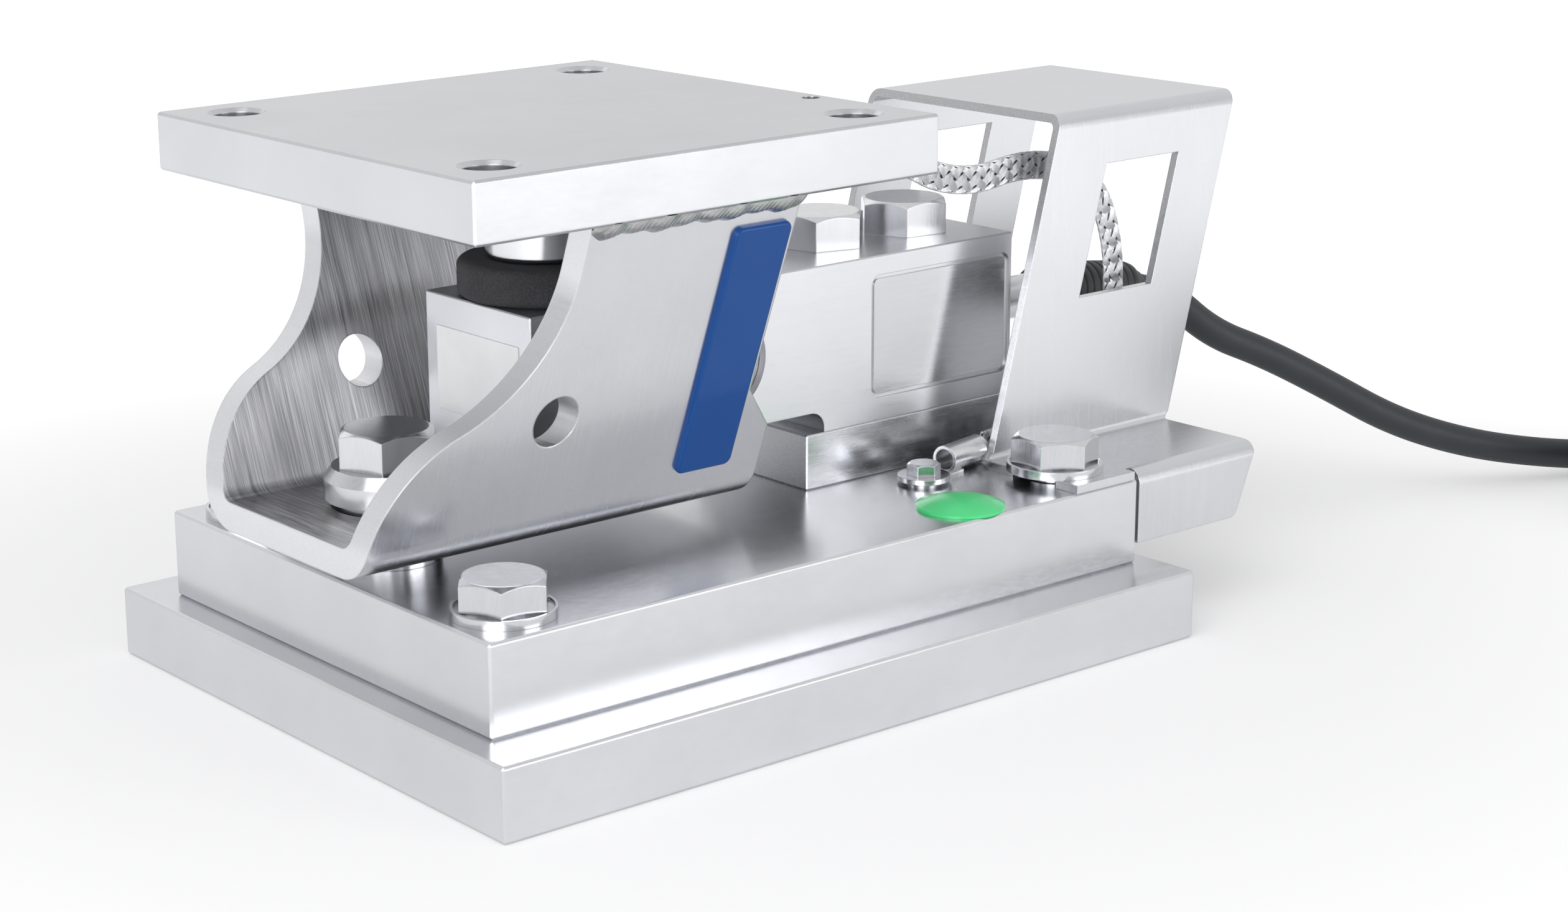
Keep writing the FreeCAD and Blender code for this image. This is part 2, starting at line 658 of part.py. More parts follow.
def load_cell_beam():
    body = new_body("beam")
    side = sketch_on(body, "XZ_Plane", "beam_side")
    relief_top = beam_low + size.relief_tall
    relief_start = size.relief_back - size.relief_round
    outline(side, [
        (size.beam_front, relief_top),
        (relief_start, relief_top, size.relief_round, -1),
        (size.relief_back, relief_top - size.relief_round),
        (size.relief_back, beam_low),
        (size.beam_back, beam_low),
        (size.beam_back, beam_top),
        (size.beam_front, beam_top),
    ])
    blank = pad(body, side, size.beam_wide, symmetric=True)

    def long_edge(edge):
        return is_line(edge) and edge.BoundBox.ZMax > relief_top.value + SMALL

    chamfer(body, blank, long_edge, size.beam_bevel)
    bolts = sketch_on(body, "XY_Plane", "beam_bolt_holes", beam_top)
    for x in cell_bolt_spots:
        circle(bolts, x, 0, size.cell_bolt_dia / 2 + size.hole_gap)
    pocket(body, bolts)
    seat = sketch_on(body, "XY_Plane", "beam_pin_seat", beam_top)
    circle(seat, size.pin_place, 0, size.bore_dia / 2)
    pocket(body, seat, size.seat_deep)
    for name, offset, backwards in (("near", beam_side, False), ("far", -beam_side, True)):
        gauge = sketch_on(body, "XZ_Plane", "beam_gauge_" + name, offset)
        circle(gauge, size.gauge_place, beam_low + size.gauge_rise, size.gauge_dia / 2)
        pocket(body, gauge, size.gauge_deep, backwards)
    plate_pocket = sketch_on(body, "XZ_Plane", "beam_plate_pocket", beam_side)
    outline(plate_pocket, rounded_rectangle(
        size.pocket_front,
        size.pocket_front + size.pocket_long,
        beam_low + size.pocket_rise,
        beam_low + size.pocket_rise + size.pocket_tall,
        size.pocket_round,
    ))
    pocket(body, plate_pocket, size.pocket_deep)
    socket = sketch_on(body, "YZ_Plane", "beam_gland_socket", size.beam_back)
    circle(socket, 0, gland_height, size.gland_stub_dia / 2 + size.thread_gap)
    pocket(body, socket, size.gland_stub_long)
    piece(body, "load_cell_beam")


def gauge_membranes():
    outer = size.gauge_dia / 2 - size.membrane_gap
    ring = size.membrane_ring_dia / 2
    half_section = [
        (0, 0),
        (outer, 0),
        (outer, size.membrane_thick),
        (ring, size.membrane_thick),
        (ring, size.membrane_thick + size.membrane_ring_tall),
        (ring - size.membrane_thick, size.membrane_thick + size.membrane_ring_tall),
        (ring - size.membrane_thick, size.membrane_thick),
        (0, size.membrane_thick),
    ]
    inset = beam_side - size.membrane_inset - size.membrane_thick
    height = beam_low + size.gauge_rise
    near = turned("near_membrane", half_section, size.gauge_place, -inset, height, AGAINST_Y)
    far = turned("far_membrane", half_section, size.gauge_place, inset, height, ALONG_Y)
    piece(group("membrane_pair", [near, far]), "gauge_membranes")


def nameplate():
    body = new_body("plate_of_the_cell")
    face = sketch_on(body, "XZ_Plane", "nameplate_face", beam_side - size.pocket_deep)
    low = beam_low + size.pocket_rise
    outline(face, rounded_rectangle(
        size.pocket_front + size.nameplate_gap,
        size.pocket_front + size.pocket_long - size.nameplate_gap,
        low + size.nameplate_gap,
        low + size.pocket_tall - size.nameplate_gap,
        size.pocket_round - size.nameplate_gap,
    ))
    pad(body, face, size.nameplate_thick)
    piece(body, "nameplate")


def end_label():
    low = beam_low + size.label_rise
    corner = (size.beam_front - size.label_thick, -size.label_wide / 2, low)
    piece(box("label", corner, size.label_thick, size.label_wide, size.label_tall), "end_label")


def cell_bolts():
    bolts = []
    for x, turn in zip(cell_bolt_spots, CELL_HEAD_TURNS):
        bolts.append(
            hex_bolt(
                "cell_bolt%d" % (len(bolts) + 1),
                size.cell_bolt_dia,
                size.cell_bolt_flats,
                size.cell_bolt_head,
                size.cell_bolt_long,
                (x, 0, beam_top),
                turn,
            )
        )
    piece(group("cell_bolt_pair", bolts), "cell_bolts")


def cable_gland():
    stub = size.gland_stub_dia / 2
    barrel = size.gland_dia / 2
    body = turned("gland", [
        (0, -size.gland_stub_long),
        (stub, -size.gland_stub_long),
        (stub, 0),
        (barrel - size.plate_bevel, 0),
        (barrel, size.plate_bevel),
        (barrel, size.gland_long),
        (0, size.gland_long),
    ], size.beam_back, 0, gland_height, ALONG_X)
    piece(body, "cable_gland")


def sleeve_spine():
    """The sagging sleeve's axis: the radius of its arc and the angle that it turns through."""
    long = size.sleeve_long.value
    drop = size.sleeve_drop.value
    return (long ** 2 + drop ** 2) / (2 * drop), 2 * math.atan2(drop, long)


def spine_frame(share):
    """Place and direction at a share of the sleeve's length."""
    radius, angle = sleeve_spine()
    turn = angle * share
    spot = Vector(
        gland_end.value + radius * math.sin(turn),
        0,
        gland_height.value - radius * (1 - math.cos(turn)),
    )
    return spot, Vector(math.cos(turn), 0, -math.sin(turn))


def cable_sleeve():
    start, _ = spine_frame(0)
    barrel = 1 - size.sleeve_tail.value / size.sleeve_long.value
    lengths = []
    for share, dia in ((1, size.sleeve_tail_dia), (barrel, size.sleeve_core_dia)):
        middle, _ = spine_frame(share / 2)
        stop, _ = spine_frame(share)
        spine = Part.Wire(Part.Arc(start, middle, stop).toShape())
        core = Part.Wire(Part.makeCircle(dia.value / 2, start, Vector(1, 0, 0)))
        lengths.append(spine.makePipeShell([core], True, False))
    ribs = []
    for number in range(RIB_COUNT):
        spot, heading = spine_frame(barrel * (number + 0.5) / RIB_COUNT)
        rib_long = size.sleeve_rib_long.value
        rib = Part.makeCylinder(size.sleeve_rib_dia.value / 2, rib_long, spot - heading * rib_long / 2, heading)
        ribs.append(rib)
    thing = doc.addObject("Part::Feature", "sleeve")
    thing.Shape = lengths[0].fuse(lengths[1:] + ribs)
    piece(thing, "cable_sleeve")


def smooth_path(points, share=CORNER_SHARE):
    """Straight runs joined by arcs as large as the shorter run beside each point allows."""
    edges = []
    last = points[0]
    radii = []
    for before, corner, after in zip(points, points[1:], points[2:]):
        inward = (before - corner).normalize()
        outward = (after - corner).normalize()
        reach = share * min((before - corner).Length, (after - corner).Length)
        turn = math.pi - inward.getAngle(outward)
        radii.append(reach / math.tan(turn / 2))
        start = corner + inward * reach
        stop = corner + outward * reach
        bisector = (inward + outward).normalize()
        centre = corner + bisector * (reach / math.cos((math.pi - turn) / 2))
        middle = centre - bisector * radii[-1]
        if (start - last).Length > SMALL:
            edges.append(Part.LineSegment(last, start).toShape())
        edges.append(Part.Arc(start, middle, stop).toShape())
        last = stop
    edges.append(Part.LineSegment(last, points[-1]).toShape())
    return Part.Wire(edges), radii


def swept(name, points, section, area):
    """A section swept along a path, with its volume compared with the section times the length."""
    path, radii = smooth_path(points)
    solid = path.makePipeShell([section], True, False)
    print("%s: length %.0f mm, radii %s" % (name, path.Length, [round(radius) for radius in radii]))
    if abs(solid.Volume / (area * path.Length) - 1) > VOLUME_SHARE:
        raise ValueError("the sweep of %s has a wrong volume" % name)
    thing = doc.addObject("Part::Feature", name)
    thing.Shape = solid
    return thing


def signal_cable():
    end, heading = spine_frame(1)
    radius = size.cable_dia.value / 2
    joint = Vector(coil_joint_x.value, coil_joint_y.value, radius)
    first = end + heading * size.cable_straight.value
    points = [end, first] + [Vector(*point) for point in CABLE_ROUTE] + [joint]
    section = Part.Wire(Part.makeCircle(radius, end, points[1] - points[0]))
    piece(swept("cable", points, section, math.pi * radius ** 2), "signal_cable")


def cable_coil():
    mean = size.coil_mean_dia / 2
    half = size.coil_columns * size.cable_dia / 2
    tall = size.coil_layers * size.cable_dia
    body = turned(
        "coil",
        rounded_rectangle(mean - half, mean + half, 0, tall, size.cable_dia / 2),
        coil_x,
        coil_y,
        0,
    )
    piece(body, "cable_coil")


def cable_leads():
    leads = []
    top = size.coil_layers * size.cable_dia + size.lead_dia / 2
    for number in range(LEAD_COUNT):
        offset = (number - (LEAD_COUNT - 1) / 2)
        turn = Rotation(Vector(0, 0, 1), LEAD_HEADING + offset * LEAD_FAN).multiply(ALONG_X)
        leads.append(
            cylinder(
                "lead%d" % number,
                size.lead_dia / 2,
                size.lead_long,
                coil_x + size.lead_place_x + size.lead_dia * offset * LEAD_ASIDE[0],
                coil_y + size.lead_place_y + size.lead_dia * offset * LEAD_ASIDE[1],
                top,
                turn,
            )
        )
    piece(fuse("lead_fan", leads), "cable_leads")


def rocker_pin():
    half = size.pin_dia / 2
    sag = size.pin_dome - root(size.pin_dome * size.pin_dome - half * half)
    long = size.seat_deep + size.foam_tall + size.foam_gap + size.receiver_bore_deep - size.seat_gap * 2
    body = turned("pin", [
        (0, 0, size.pin_dome, 1),
        (half, sag),
        (half, long - sag, size.pin_dome, 1),
        (0, long),
    ], size.pin_place, 0, pin_low)
    piece(body, "rocker_pin")


def seal_rings():
    inner = size.seal_inner_dia / 2
    outer = size.bore_dia / 2 - size.seal_gap
    section = rectangle(inner, outer, 0, size.seal_thick)
    low = beam_top - size.seat_deep + size.seal_inset * 3
    high = receiver_low + size.seal_inset
    piece(turned("low_seal", section, size.pin_place, 0, low), "lower_seal_ring")
    piece(turned("high_seal", section, size.pin_place, 0, high), "upper_seal_ring")


def foam_ring():
    inner = size.foam_hole_dia / 2
    outer = size.foam_dia / 2
    edge = size.foam_round
    body = turned("foam", [
        (inner, 0),
        (outer - edge, 0, edge, 1),
        (outer, edge),
        (outer, size.foam_tall - edge, edge, 1),
        (outer - edge, size.foam_tall),
        (inner, size.foam_tall),
    ], size.pin_place, 0, beam_top)
    piece(body, "foam_ring")


def receiver_cup():
    bore = size.bore_dia / 2
    outer = size.receiver_dia / 2
    body = turned("receiver", [
        (bore, 0),
        (outer - size.receiver_bevel, 0, size.receiver_bevel, 1),
        (outer, size.receiver_bevel),
        (outer, size.receiver_tall),
        (0, size.receiver_tall),
        (0, size.receiver_bore_deep),
        (bore, size.receiver_bore_deep),
    ], size.pin_place, 0, receiver_low)
    piece(body, "receiver_cup")


def top_plate():
    half = size.top_side / 2
    front = size.pin_place - half
    back = size.pin_place + half
    body, _ = plate("top", front, back, -half, half, top_low, size.top_thick)
    corners = sketch_on(body, "XY_Plane", "top_corners", top_high)
    for end in (-1, 1):
        for side in (-1, 1):
            x = size.pin_place + size.top_hole_pitch * (end / 2)
            circle(corners, x, size.top_hole_pitch * (side / 2), size.top_hole_dia / 2)
    through = pocket(body, corners)

    def upper_rim(edge):
        return not is_line(edge) and edge.BoundBox.ZMin > top_high.value - SMALL

    chamfer(body, through, upper_rim, size.top_hole_bevel)
    tap = sketch_on(body, "XY_Plane", "top_tap", top_high)
    circle(tap, size.earth_top_x, size.earth_top_y, size.earth_hole_dia / 2 + size.thread_gap)
    pocket(body, tap)
    piece(body, "top_plate")


def yoke():
    """A flat plate bent to an open V. Its cut edges sweep forward to the foot and carry a rear slant."""
    body = new_body("yoke_sheet")
    slope = root(1 + size.yoke_flare * size.yoke_flare)
    tangent = slope - size.yoke_flare
    outer_bend = size.yoke_bend + size.yoke_thick
    inner_foot = size.yoke_foot_half + size.yoke_flare * size.yoke_thick - size.yoke_thick * slope
    rise = top_low - yoke_low
    outer_top = size.yoke_foot_half + size.yoke_flare * rise
    inner_top = outer_top - size.yoke_thick * slope

    def flank(foot, level, radius):
        """Where a bend leaves the floor, and where it reaches the leg."""
        reach = radius * tangent
        return foot - reach, foot + reach * size.yoke_flare / slope, level + reach / slope

    low_flat, low_y, low_z = flank(size.yoke_foot_half, yoke_low, outer_bend)
    floor_flat, floor_y, floor_z = flank(inner_foot, yoke_floor, size.yoke_bend)
    section = sketch_on(body, "YZ_Plane", "yoke_section", size.yoke_front - size.yoke_thick)
    outline(section, [
        (-low_flat, yoke_low),
        (low_flat, yoke_low, outer_bend, 1),
        (low_y, low_z),
        (outer_top, top_low),
        (inner_top, top_low),
        (floor_y, floor_z, size.yoke_bend, -1),
        (floor_flat, yoke_floor),
        (-floor_flat, yoke_floor, size.yoke_bend, -1),
        (-floor_y, floor_z),
        (-inner_top, top_low),
        (-outer_top, top_low),
        (-low_y, low_z, outer_bend, 1),
    ])
    pad(body, section, size.yoke_back - size.yoke_front + size.yoke_thick * 2)

    above = top_low + size.yoke_thick
    below = yoke_low - size.yoke_thick
    ahead = size.yoke_front - size.yoke_thick * 2
    behind = size.yoke_back + size.yoke_thick * 2
    radii = size.yoke_sweep_upper + size.yoke_sweep_lower
    across = radii + size.yoke_front - size.yoke_neck_front
    drop = root(radii * radii - across * across)
    share = size.yoke_sweep_upper / radii
    meeting_x = size.yoke_neck_front - size.yoke_sweep_upper + across * share
    meeting_z = size.yoke_neck_low - drop * share
    front = sketch_on(body, "XZ_Plane", "yoke_front_edge")
    outline(front, [
        (size.yoke_neck_front, above),
        (ahead, above),
        (ahead, below),
        (size.yoke_front, below),
        (size.yoke_front, size.yoke_neck_low - drop, size.yoke_sweep_lower, -1),
        (meeting_x, meeting_z, size.yoke_sweep_upper, 1),
        (size.yoke_neck_front, size.yoke_neck_low),
    ])
    pocket(body, front)
    back = sketch_on(body, "XZ_Plane", "yoke_back_edge")
    outline(back, [
        (size.yoke_back, below),
        (behind, below),
        (behind, above),
        (size.yoke_neck_back, above),
        (size.yoke_neck_back, size.yoke_back_high),
        (size.yoke_back, size.yoke_back_low),
    ])
    pocket(body, back)
    cross = sketch_on(body, "XZ_Plane", "yoke_cross_hole")
    circle(cross, size.cross_hole_x, size.cross_hole_z, size.cross_hole_dia / 2)
    pocket(body, cross)
    passage = sketch_on(body, "XY_Plane", "yoke_passage", yoke_low)
    circle(passage, size.retainer_place, 0, size.yoke_pass_dia / 2)
    pocket(body, passage)
    piece(body, "yoke")


def weld_beads():
    """Two beads that fill the corner between each leg's outer face and the top plate."""
    edge = size.yoke_foot_half + size.yoke_flare * (top_low - yoke_low)
    beads = []
    outer = edge + size.weld_leg
    foot_y = edge - size.yoke_flare * size.weld_leg
    foot_z = top_low - size.weld_leg
    for name, side in (("near", -1), ("far", 1)):
        body = new_body("weld_" + name)
        section = sketch_on(body, "YZ_Plane", "weld_section_" + name, size.yoke_neck_front)
        outline(section, [
            (edge * side, top_low),
            (foot_y * side, foot_z, size.weld_round, side),
            (outer * side, top_low),
        ])
        pad(body, section, size.yoke_neck_back - size.yoke_neck_front)
        beads.append(body)
    piece(group("weld_pair", beads), "weld_beads")


def badge():
    """A domed strip on the near leg, in the leg's own plane."""
    body = new_body("badge_strip")
    face = sketch_on(body, "XY_Plane", "badge_face")
    outline(face, rounded_rectangle(-size.badge_wide, 0, 0, size.badge_long, size.badge_round))
    blank = pad(body, face, size.badge_thick)
    fillet(body, blank, lambda edge: edge.BoundBox.ZMin > size.badge_thick.value - SMALL, size.badge_edge)
    lean = math.degrees(math.atan(size.yoke_flare.value))
    foot = size.yoke_foot_half + size.yoke_flare * (size.badge_low - yoke_low)
    place(body, size.badge_back, -foot, size.badge_low, Rotation(Vector(1, 0, 0), 90 + lean))
    piece(body, "badge")


def retainer():
    neck = size.retainer_neck_dia / 2
    collar = size.retainer_dia / 2
    bore = size.cell_bolt_dia / 2 + size.hole_gap
    shoulder = collar_low - base_top
    tall = shoulder + size.retainer_tall
    body = turned("retainer", [
        (bore, 0),
        (neck, 0),
        (neck, shoulder),
        (collar, shoulder),
        (collar, tall - size.retainer_bevel),
        (collar - size.retainer_bevel_wide, tall),
        (bore, tall),
    ], size.retainer_place, 0, base_top)
    piece(body, "retaining_collar")
    bolt = hex_bolt(
        "retainer_bolt",
        size.cell_bolt_dia,
        size.cell_bolt_flats,
        size.cell_bolt_head,
        size.retainer_bolt_long,
        (size.retainer_place, 0, collar_high),
        RETAINER_HEAD_TURN,
    )
    piece(bolt, "retaining_bolt")


def green_cap():
    outer = size.cap_dia / 2
    dome = size.cap_tall - size.cap_rim
    dome_radius = (outer * outer + dome * dome) / (dome * 2)
    stem = size.cap_stem_dia / 2 - size.thread_gap
    body = turned("cap", [
        (0, -size.cap_stem_long),
        (stem, -size.cap_stem_long),
        (stem, 0),
        (outer, 0),
        (outer, size.cap_rim, dome_radius, 1),
        (0, size.cap_tall),
    ], cap_x, cap_y, base_top)
    piece(body, "green_cap")


def lug(name, spot, turn):
    """A crimped cable lug, its tongue flat at spot and its barrel standing above."""
    radius = size.lug_barrel_dia / 2
    barrel_axis = size.lug_thick + radius - size.lug_wall / 2
    tongue_end = size.lug_barrel_start + size.lug_overlap
    ring = cylinder(name + "_ring", size.lug_wide / 2, size.lug_thick)
    tongue = box(name + "_tongue", (0, -size.lug_neck_wide / 2, 0), tongue_end, size.lug_neck_wide, size.lug_thick)
    barrel = cylinder(
        name + "_barrel", radius, size.lug_barrel_long, size.lug_barrel_start, 0, barrel_axis, ALONG_X
    )
    bore = cylinder(
        name + "_bore",
        radius - size.lug_wall,
        size.lug_barrel_long,
        size.lug_barrel_start,
        0,
        barrel_axis,
        ALONG_X,
    )
    eye = cylinder(name + "_eye", size.earth_hole_dia / 2 + size.thread_gap, size.lug_thick)
    whole = fuse(name + "_whole", [ring, tongue, barrel])
    return place(cut(name, whole, [bore, eye]), *spot, turn=turn)


def earth_fasteners():
    upper_spot = (size.earth_top_x, size.earth_top_y, top_low)
    piece(lug("upper_lug", upper_spot, UPSIDE_DOWN), "strap_lug")
    dia = size.earth_hole_dia
    upper_seat = (size.earth_top_x, size.earth_top_y, top_low - size.lug_thick)
    screw = hex_bolt(
        "upper_screw",
        dia,
        size.earth_flats,
        size.earth_head,
        size.earth_long,
        upper_seat,
        STRAP_HEAD_TURN,
        flip=True,
    )
    piece(screw, "strap_screw")

    aim_x = size.earth_base_x.value
    aim = math.degrees(math.atan2(size.earth_top_y.value - size.earth_base_y.value, STRAP_ROUTE[-1][0] - aim_x))
    lower_spot = (size.earth_base_x, size.earth_base_y, base_top)
    piece(lug("lower_lug", lower_spot, Rotation(Vector(0, 0, 1), aim)), "ground_lug")
    washer_low = base_top + size.lug_thick
    inner = dia / 2 + size.hole_gap
    outer = size.earth_washer_dia / 2
    section = rectangle(inner, outer, 0, size.earth_washer_thick)
    washer = turned("earth_washer", section, size.earth_base_x, size.earth_base_y, washer_low)
    piece(washer, "ground_washer")
    screw = hex_bolt(
        "lower_screw",
        dia,
        size.earth_flats,
        size.earth_head,
        size.earth_long,
        (size.earth_base_x, size.earth_base_y, washer_low + size.earth_washer_thick),
        GROUND_HEAD_TURN,
    )
    piece(screw, "ground_screw")
    return aim


def ground_strap(aim):
    """The flat strap from the upper lug's mouth down behind the cover's panel to the lower lug's mouth."""
    mouth = size.lug_barrel_start.value + size.lug_barrel_long.value + size.strap_gap.value
    axis = size.lug_thick.value + size.lug_barrel_dia.value / 2 - size.lug_wall.value / 2
    plane = size.earth_top_y.value
    start = Vector(size.earth_top_x.value + mouth, plane, top_low.value - axis)
    heading = Vector(math.cos(math.radians(aim)), math.sin(math.radians(aim)), 0)
    foot = Vector(size.earth_base_x.value, size.earth_base_y.value, base_top.value + axis)
    stop = foot + heading * mouth
    points = [start] + [Vector(x, plane, z) for x, z in STRAP_ROUTE] + [stop]
    run = (points[1] - start).normalize()
    across = Vector(0, size.strap_thick.value / 2, 0)
    through = run.cross(Vector(0, 1, 0)) * (size.strap_wide.value / 2)
    corners = [start + across + through, start - across + through, start - across - through, start + across - through]
    section = Part.makePolygon(corners + corners[:1])
    piece(swept("strap", points, section, size.strap_wide.value * size.strap_thick.value), "ground_strap")


def cell_cover():
    """One folded sheet: a leaning tunnel with windows, slotted feet and hanging flanges."""
    body = new_body("cover_sheet")
    thick = size.cover_thick
    inner_bend = size.cover_bend
    panel_front = base_back + size.cover_front
    foot_front = base_back + size.cover_foot_front
    foot_back = base_back + size.cover_foot_back
    flange_front = base_back + size.cover_flange_front
    flange_back = base_back + size.cover_flange_back
    outer_bend = size.cover_bend + thick
    side = size.cover_half_wide
    foot = size.base_wide / 2
    foot_top = base_top + thick
    roof = size.cover_top

    def half_section(flanged):
        """The right half, from the foot's tip over the roof's underside's end, as two chains."""
        lower = [
            (side - thick, roof - thick - inner_bend),
            (side - thick, base_top + outer_bend, outer_bend, 1),
            (side - thick + outer_bend, base_top),
        ]
        upper = [
            (side + inner_bend, foot_top, inner_bend, -1),
            (side, foot_top + inner_bend),
            (side, roof - outer_bend, outer_bend, 1),
            (side - outer_bend, roof),
        ]
        if not flanged:
            return lower + [(foot, base_top), (foot, foot_top)] + upper
        tip = [
            (foot - outer_bend, base_top, inner_bend, -1),
            (foot - thick, base_top - inner_bend),
            (foot - thick, size.cover_flange_low),
            (foot, size.cover_flange_low),
            (foot, foot_top - outer_bend, outer_bend, 1),
            (foot - outer_bend, foot_top),
        ]
        return lower + tip + upper

    def section(name, flanged, start, long):
        right = half_section(flanged)
        left = []
        for index, point in enumerate(right):
            before = right[index - 1] if index else None
            arc = tuple(before[2:]) if before is not None and len(before) > 2 else ()
            left.append((-point[0], point[1]) + arc)
        inner_left = (-(side - thick - inner_bend), roof - thick, inner_bend, 1)
        inner_right = (side - thick - inner_bend, roof - thick, inner_bend, -1)
        profile = sketch_on(body, "YZ_Plane", name, start)
        chain = [inner_left[:2], inner_right] + right + list(reversed(left))
        chain[-1] = chain[-1][:2] + (inner_bend, -1)
        outline(profile, chain)
        return pad(body, profile, long)

    lead = outer_bend
    flat_start = foot_front - lead
    section("cover_flat_feet", False, flat_start, flange_front - flat_start)
    panel_high = roof - base_top - outer_bend
    roof_back = panel_front + size.cover_lean * panel_high + size.cover_long
    section("cover_flanged_feet", True, flange_front, roof_back + lead - flange_front)

    bend_high = base_top + outer_bend
    roof_front = roof_back - size.cover_long
    corner = size.cover_flange_round
    keep = sketch_on(body, "XZ_Plane", "cover_side_outline")
    low = size.cover_flange_low
    outline(keep, rectangle(flat_start - lead, roof_back + lead * 2, low - lead, roof + lead))
    outline(keep, [
        (foot_front, low),
        (flange_back - corner, low, corner, 1),
        (flange_back + size.cover_flange_lean, low + corner - size.cover_flange_lean),
        (foot_back, base_top),
        (foot_back, foot_top),
        (panel_front + size.cover_long, bend_high),
        (roof_back, roof),
        (roof_front, roof),
        (panel_front, bend_high),
        (foot_front, foot_top),
    ])
    pocket(body, keep)

    window = sketch_on(body, "XZ_Plane", "cover_windows")
    sill = panel_front + size.cover_lean * (size.window_low - bend_high) + size.window_inset
    head = panel_front + size.cover_lean * (size.window_high - bend_high) + size.window_inset
    outline(window, [
        (sill, size.window_low),
        (sill + size.window_wide, size.window_low),
        (head + size.window_wide, size.window_high),
        (head, size.window_high),
    ])
    pocket(body, window)

    slots = sketch_on(body, "XY_Plane", "cover_slots", base_top)
    half = size.cover_slot_wide / 2
    bolt_x = base_back - size.corner_inset_long
    relief = flange_front - size.cover_relief_wide
    for sign in (-1, 1):
        y = (size.base_wide / 2 - size.corner_inset_wide) * sign
        outline(slots, [
            (flat_start - lead, y - half),
            (bolt_x, y - half, half, 1),
            (bolt_x + half, y, half, 1),
            (bolt_x, y + half),
            (flat_start - lead, y + half),
        ])
        edge_y = foot * sign
        inner_y = (foot - outer_bend) * sign
        outer_y = (foot + lead) * sign
        outline(slots, [
            (relief, inner_y),
            (flange_front, inner_y),
            (flange_front, outer_y),
            (relief, outer_y),
        ])
    pocket(body, slots)
    piece(body, "cell_cover")


def check_document():
    """Stops with a message if a feature failed, a cut removed nothing or a piece isn't a sound solid."""
    for thing in doc.Objects:
        if {"Invalid", "Error"} & set(thing.State):
            raise ValueError("%s failed: %s" % (thing.Name, thing.State))
        if thing.TypeId == "PartDesign::Pocket":
            if thing.BaseFeature.Shape.Volume - thing.Shape.Volume < LEAST_CUT:
                raise ValueError("%s cuts nothing" % thing.Name)
    for thing in pieces:
        if thing.Shape.isNull() or not thing.Shape.isValid() or not thing.Shape.Solids:
            raise ValueError("%s is not a sound solid" % thing.Label)


foundation_plate()
base_plate()
corner_fasteners()
cell_spacer()
load_cell_beam()
gauge_membranes()
nameplate()
end_label()
cell_bolts()
cable_gland()
cable_sleeve()
signal_cable()
cable_coil()
cable_leads()
rocker_pin()
seal_rings()
foam_ring()
receiver_cup()
top_plate()
yoke()
weld_beads()
badge()
retainer()
green_cap()
ground_strap(earth_fasteners())
cell_cover()

doc.recompute()
check_document()
os.makedirs("parts", exist_ok=True)
for thing in pieces:
    thing.Shape.exportStep("parts/%s.step" % thing.Label)
print("%d sub-parts written" % len(pieces))
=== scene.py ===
"""Load cell weighing module: looks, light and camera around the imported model. Metres, +Z up."""

import math

import bpy
from mathutils import Matrix, Vector

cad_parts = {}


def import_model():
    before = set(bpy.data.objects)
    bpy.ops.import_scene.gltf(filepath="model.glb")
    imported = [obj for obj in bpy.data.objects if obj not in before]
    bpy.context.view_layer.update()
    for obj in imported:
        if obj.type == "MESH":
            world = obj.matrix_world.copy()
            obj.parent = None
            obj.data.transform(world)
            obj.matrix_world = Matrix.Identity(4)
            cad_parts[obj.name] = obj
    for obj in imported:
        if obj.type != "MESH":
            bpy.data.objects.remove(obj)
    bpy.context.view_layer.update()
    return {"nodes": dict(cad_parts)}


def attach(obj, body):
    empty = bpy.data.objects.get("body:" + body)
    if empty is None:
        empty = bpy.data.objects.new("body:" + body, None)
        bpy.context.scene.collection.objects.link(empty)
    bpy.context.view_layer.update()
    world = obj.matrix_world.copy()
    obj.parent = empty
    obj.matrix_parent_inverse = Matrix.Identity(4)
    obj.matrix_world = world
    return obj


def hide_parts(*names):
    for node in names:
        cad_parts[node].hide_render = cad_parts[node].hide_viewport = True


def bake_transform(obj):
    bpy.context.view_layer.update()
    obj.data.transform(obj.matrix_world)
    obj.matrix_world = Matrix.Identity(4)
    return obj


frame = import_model()
nodes = frame["nodes"]
MM = 0.001

PHOTO_WIDE = 2520
PHOTO_TALL = 1465
CAMERA_PLACE = (-0.50741, -0.63935, 0.27791)
CAMERA_RIGHT = (0.79996, -0.59975, -0.01911)
CAMERA_DOWN = (-0.17284, -0.19982, -0.96447)
CAMERA_AHEAD = (0.57462, 0.77484, -0.26351)
FOCAL_PIXELS = 4784.3
CENTRE_PIXEL = (904.10, 743.55)
SENSOR_MM = 36.0


# Camera
camera = bpy.data.objects.new("Camera", bpy.data.cameras.new("Camera"))
bpy.context.scene.collection.objects.link(camera)
bpy.context.scene.camera = camera
camera.data.sensor_width = SENSOR_MM
camera.data.lens = FOCAL_PIXELS * SENSOR_MM / PHOTO_WIDE
camera.data.shift_x = (PHOTO_WIDE / 2 - CENTRE_PIXEL[0]) / PHOTO_WIDE
camera.data.shift_y = (CENTRE_PIXEL[1] - PHOTO_TALL / 2) / PHOTO_WIDE
camera.data.clip_start = 0.01
camera_up = [-part for part in CAMERA_DOWN]
camera_back = [-part for part in CAMERA_AHEAD]
turn = Matrix((CAMERA_RIGHT, camera_up, camera_back)).transposed()
camera.matrix_world = Matrix.Translation(CAMERA_PLACE) @ turn.to_4x4()


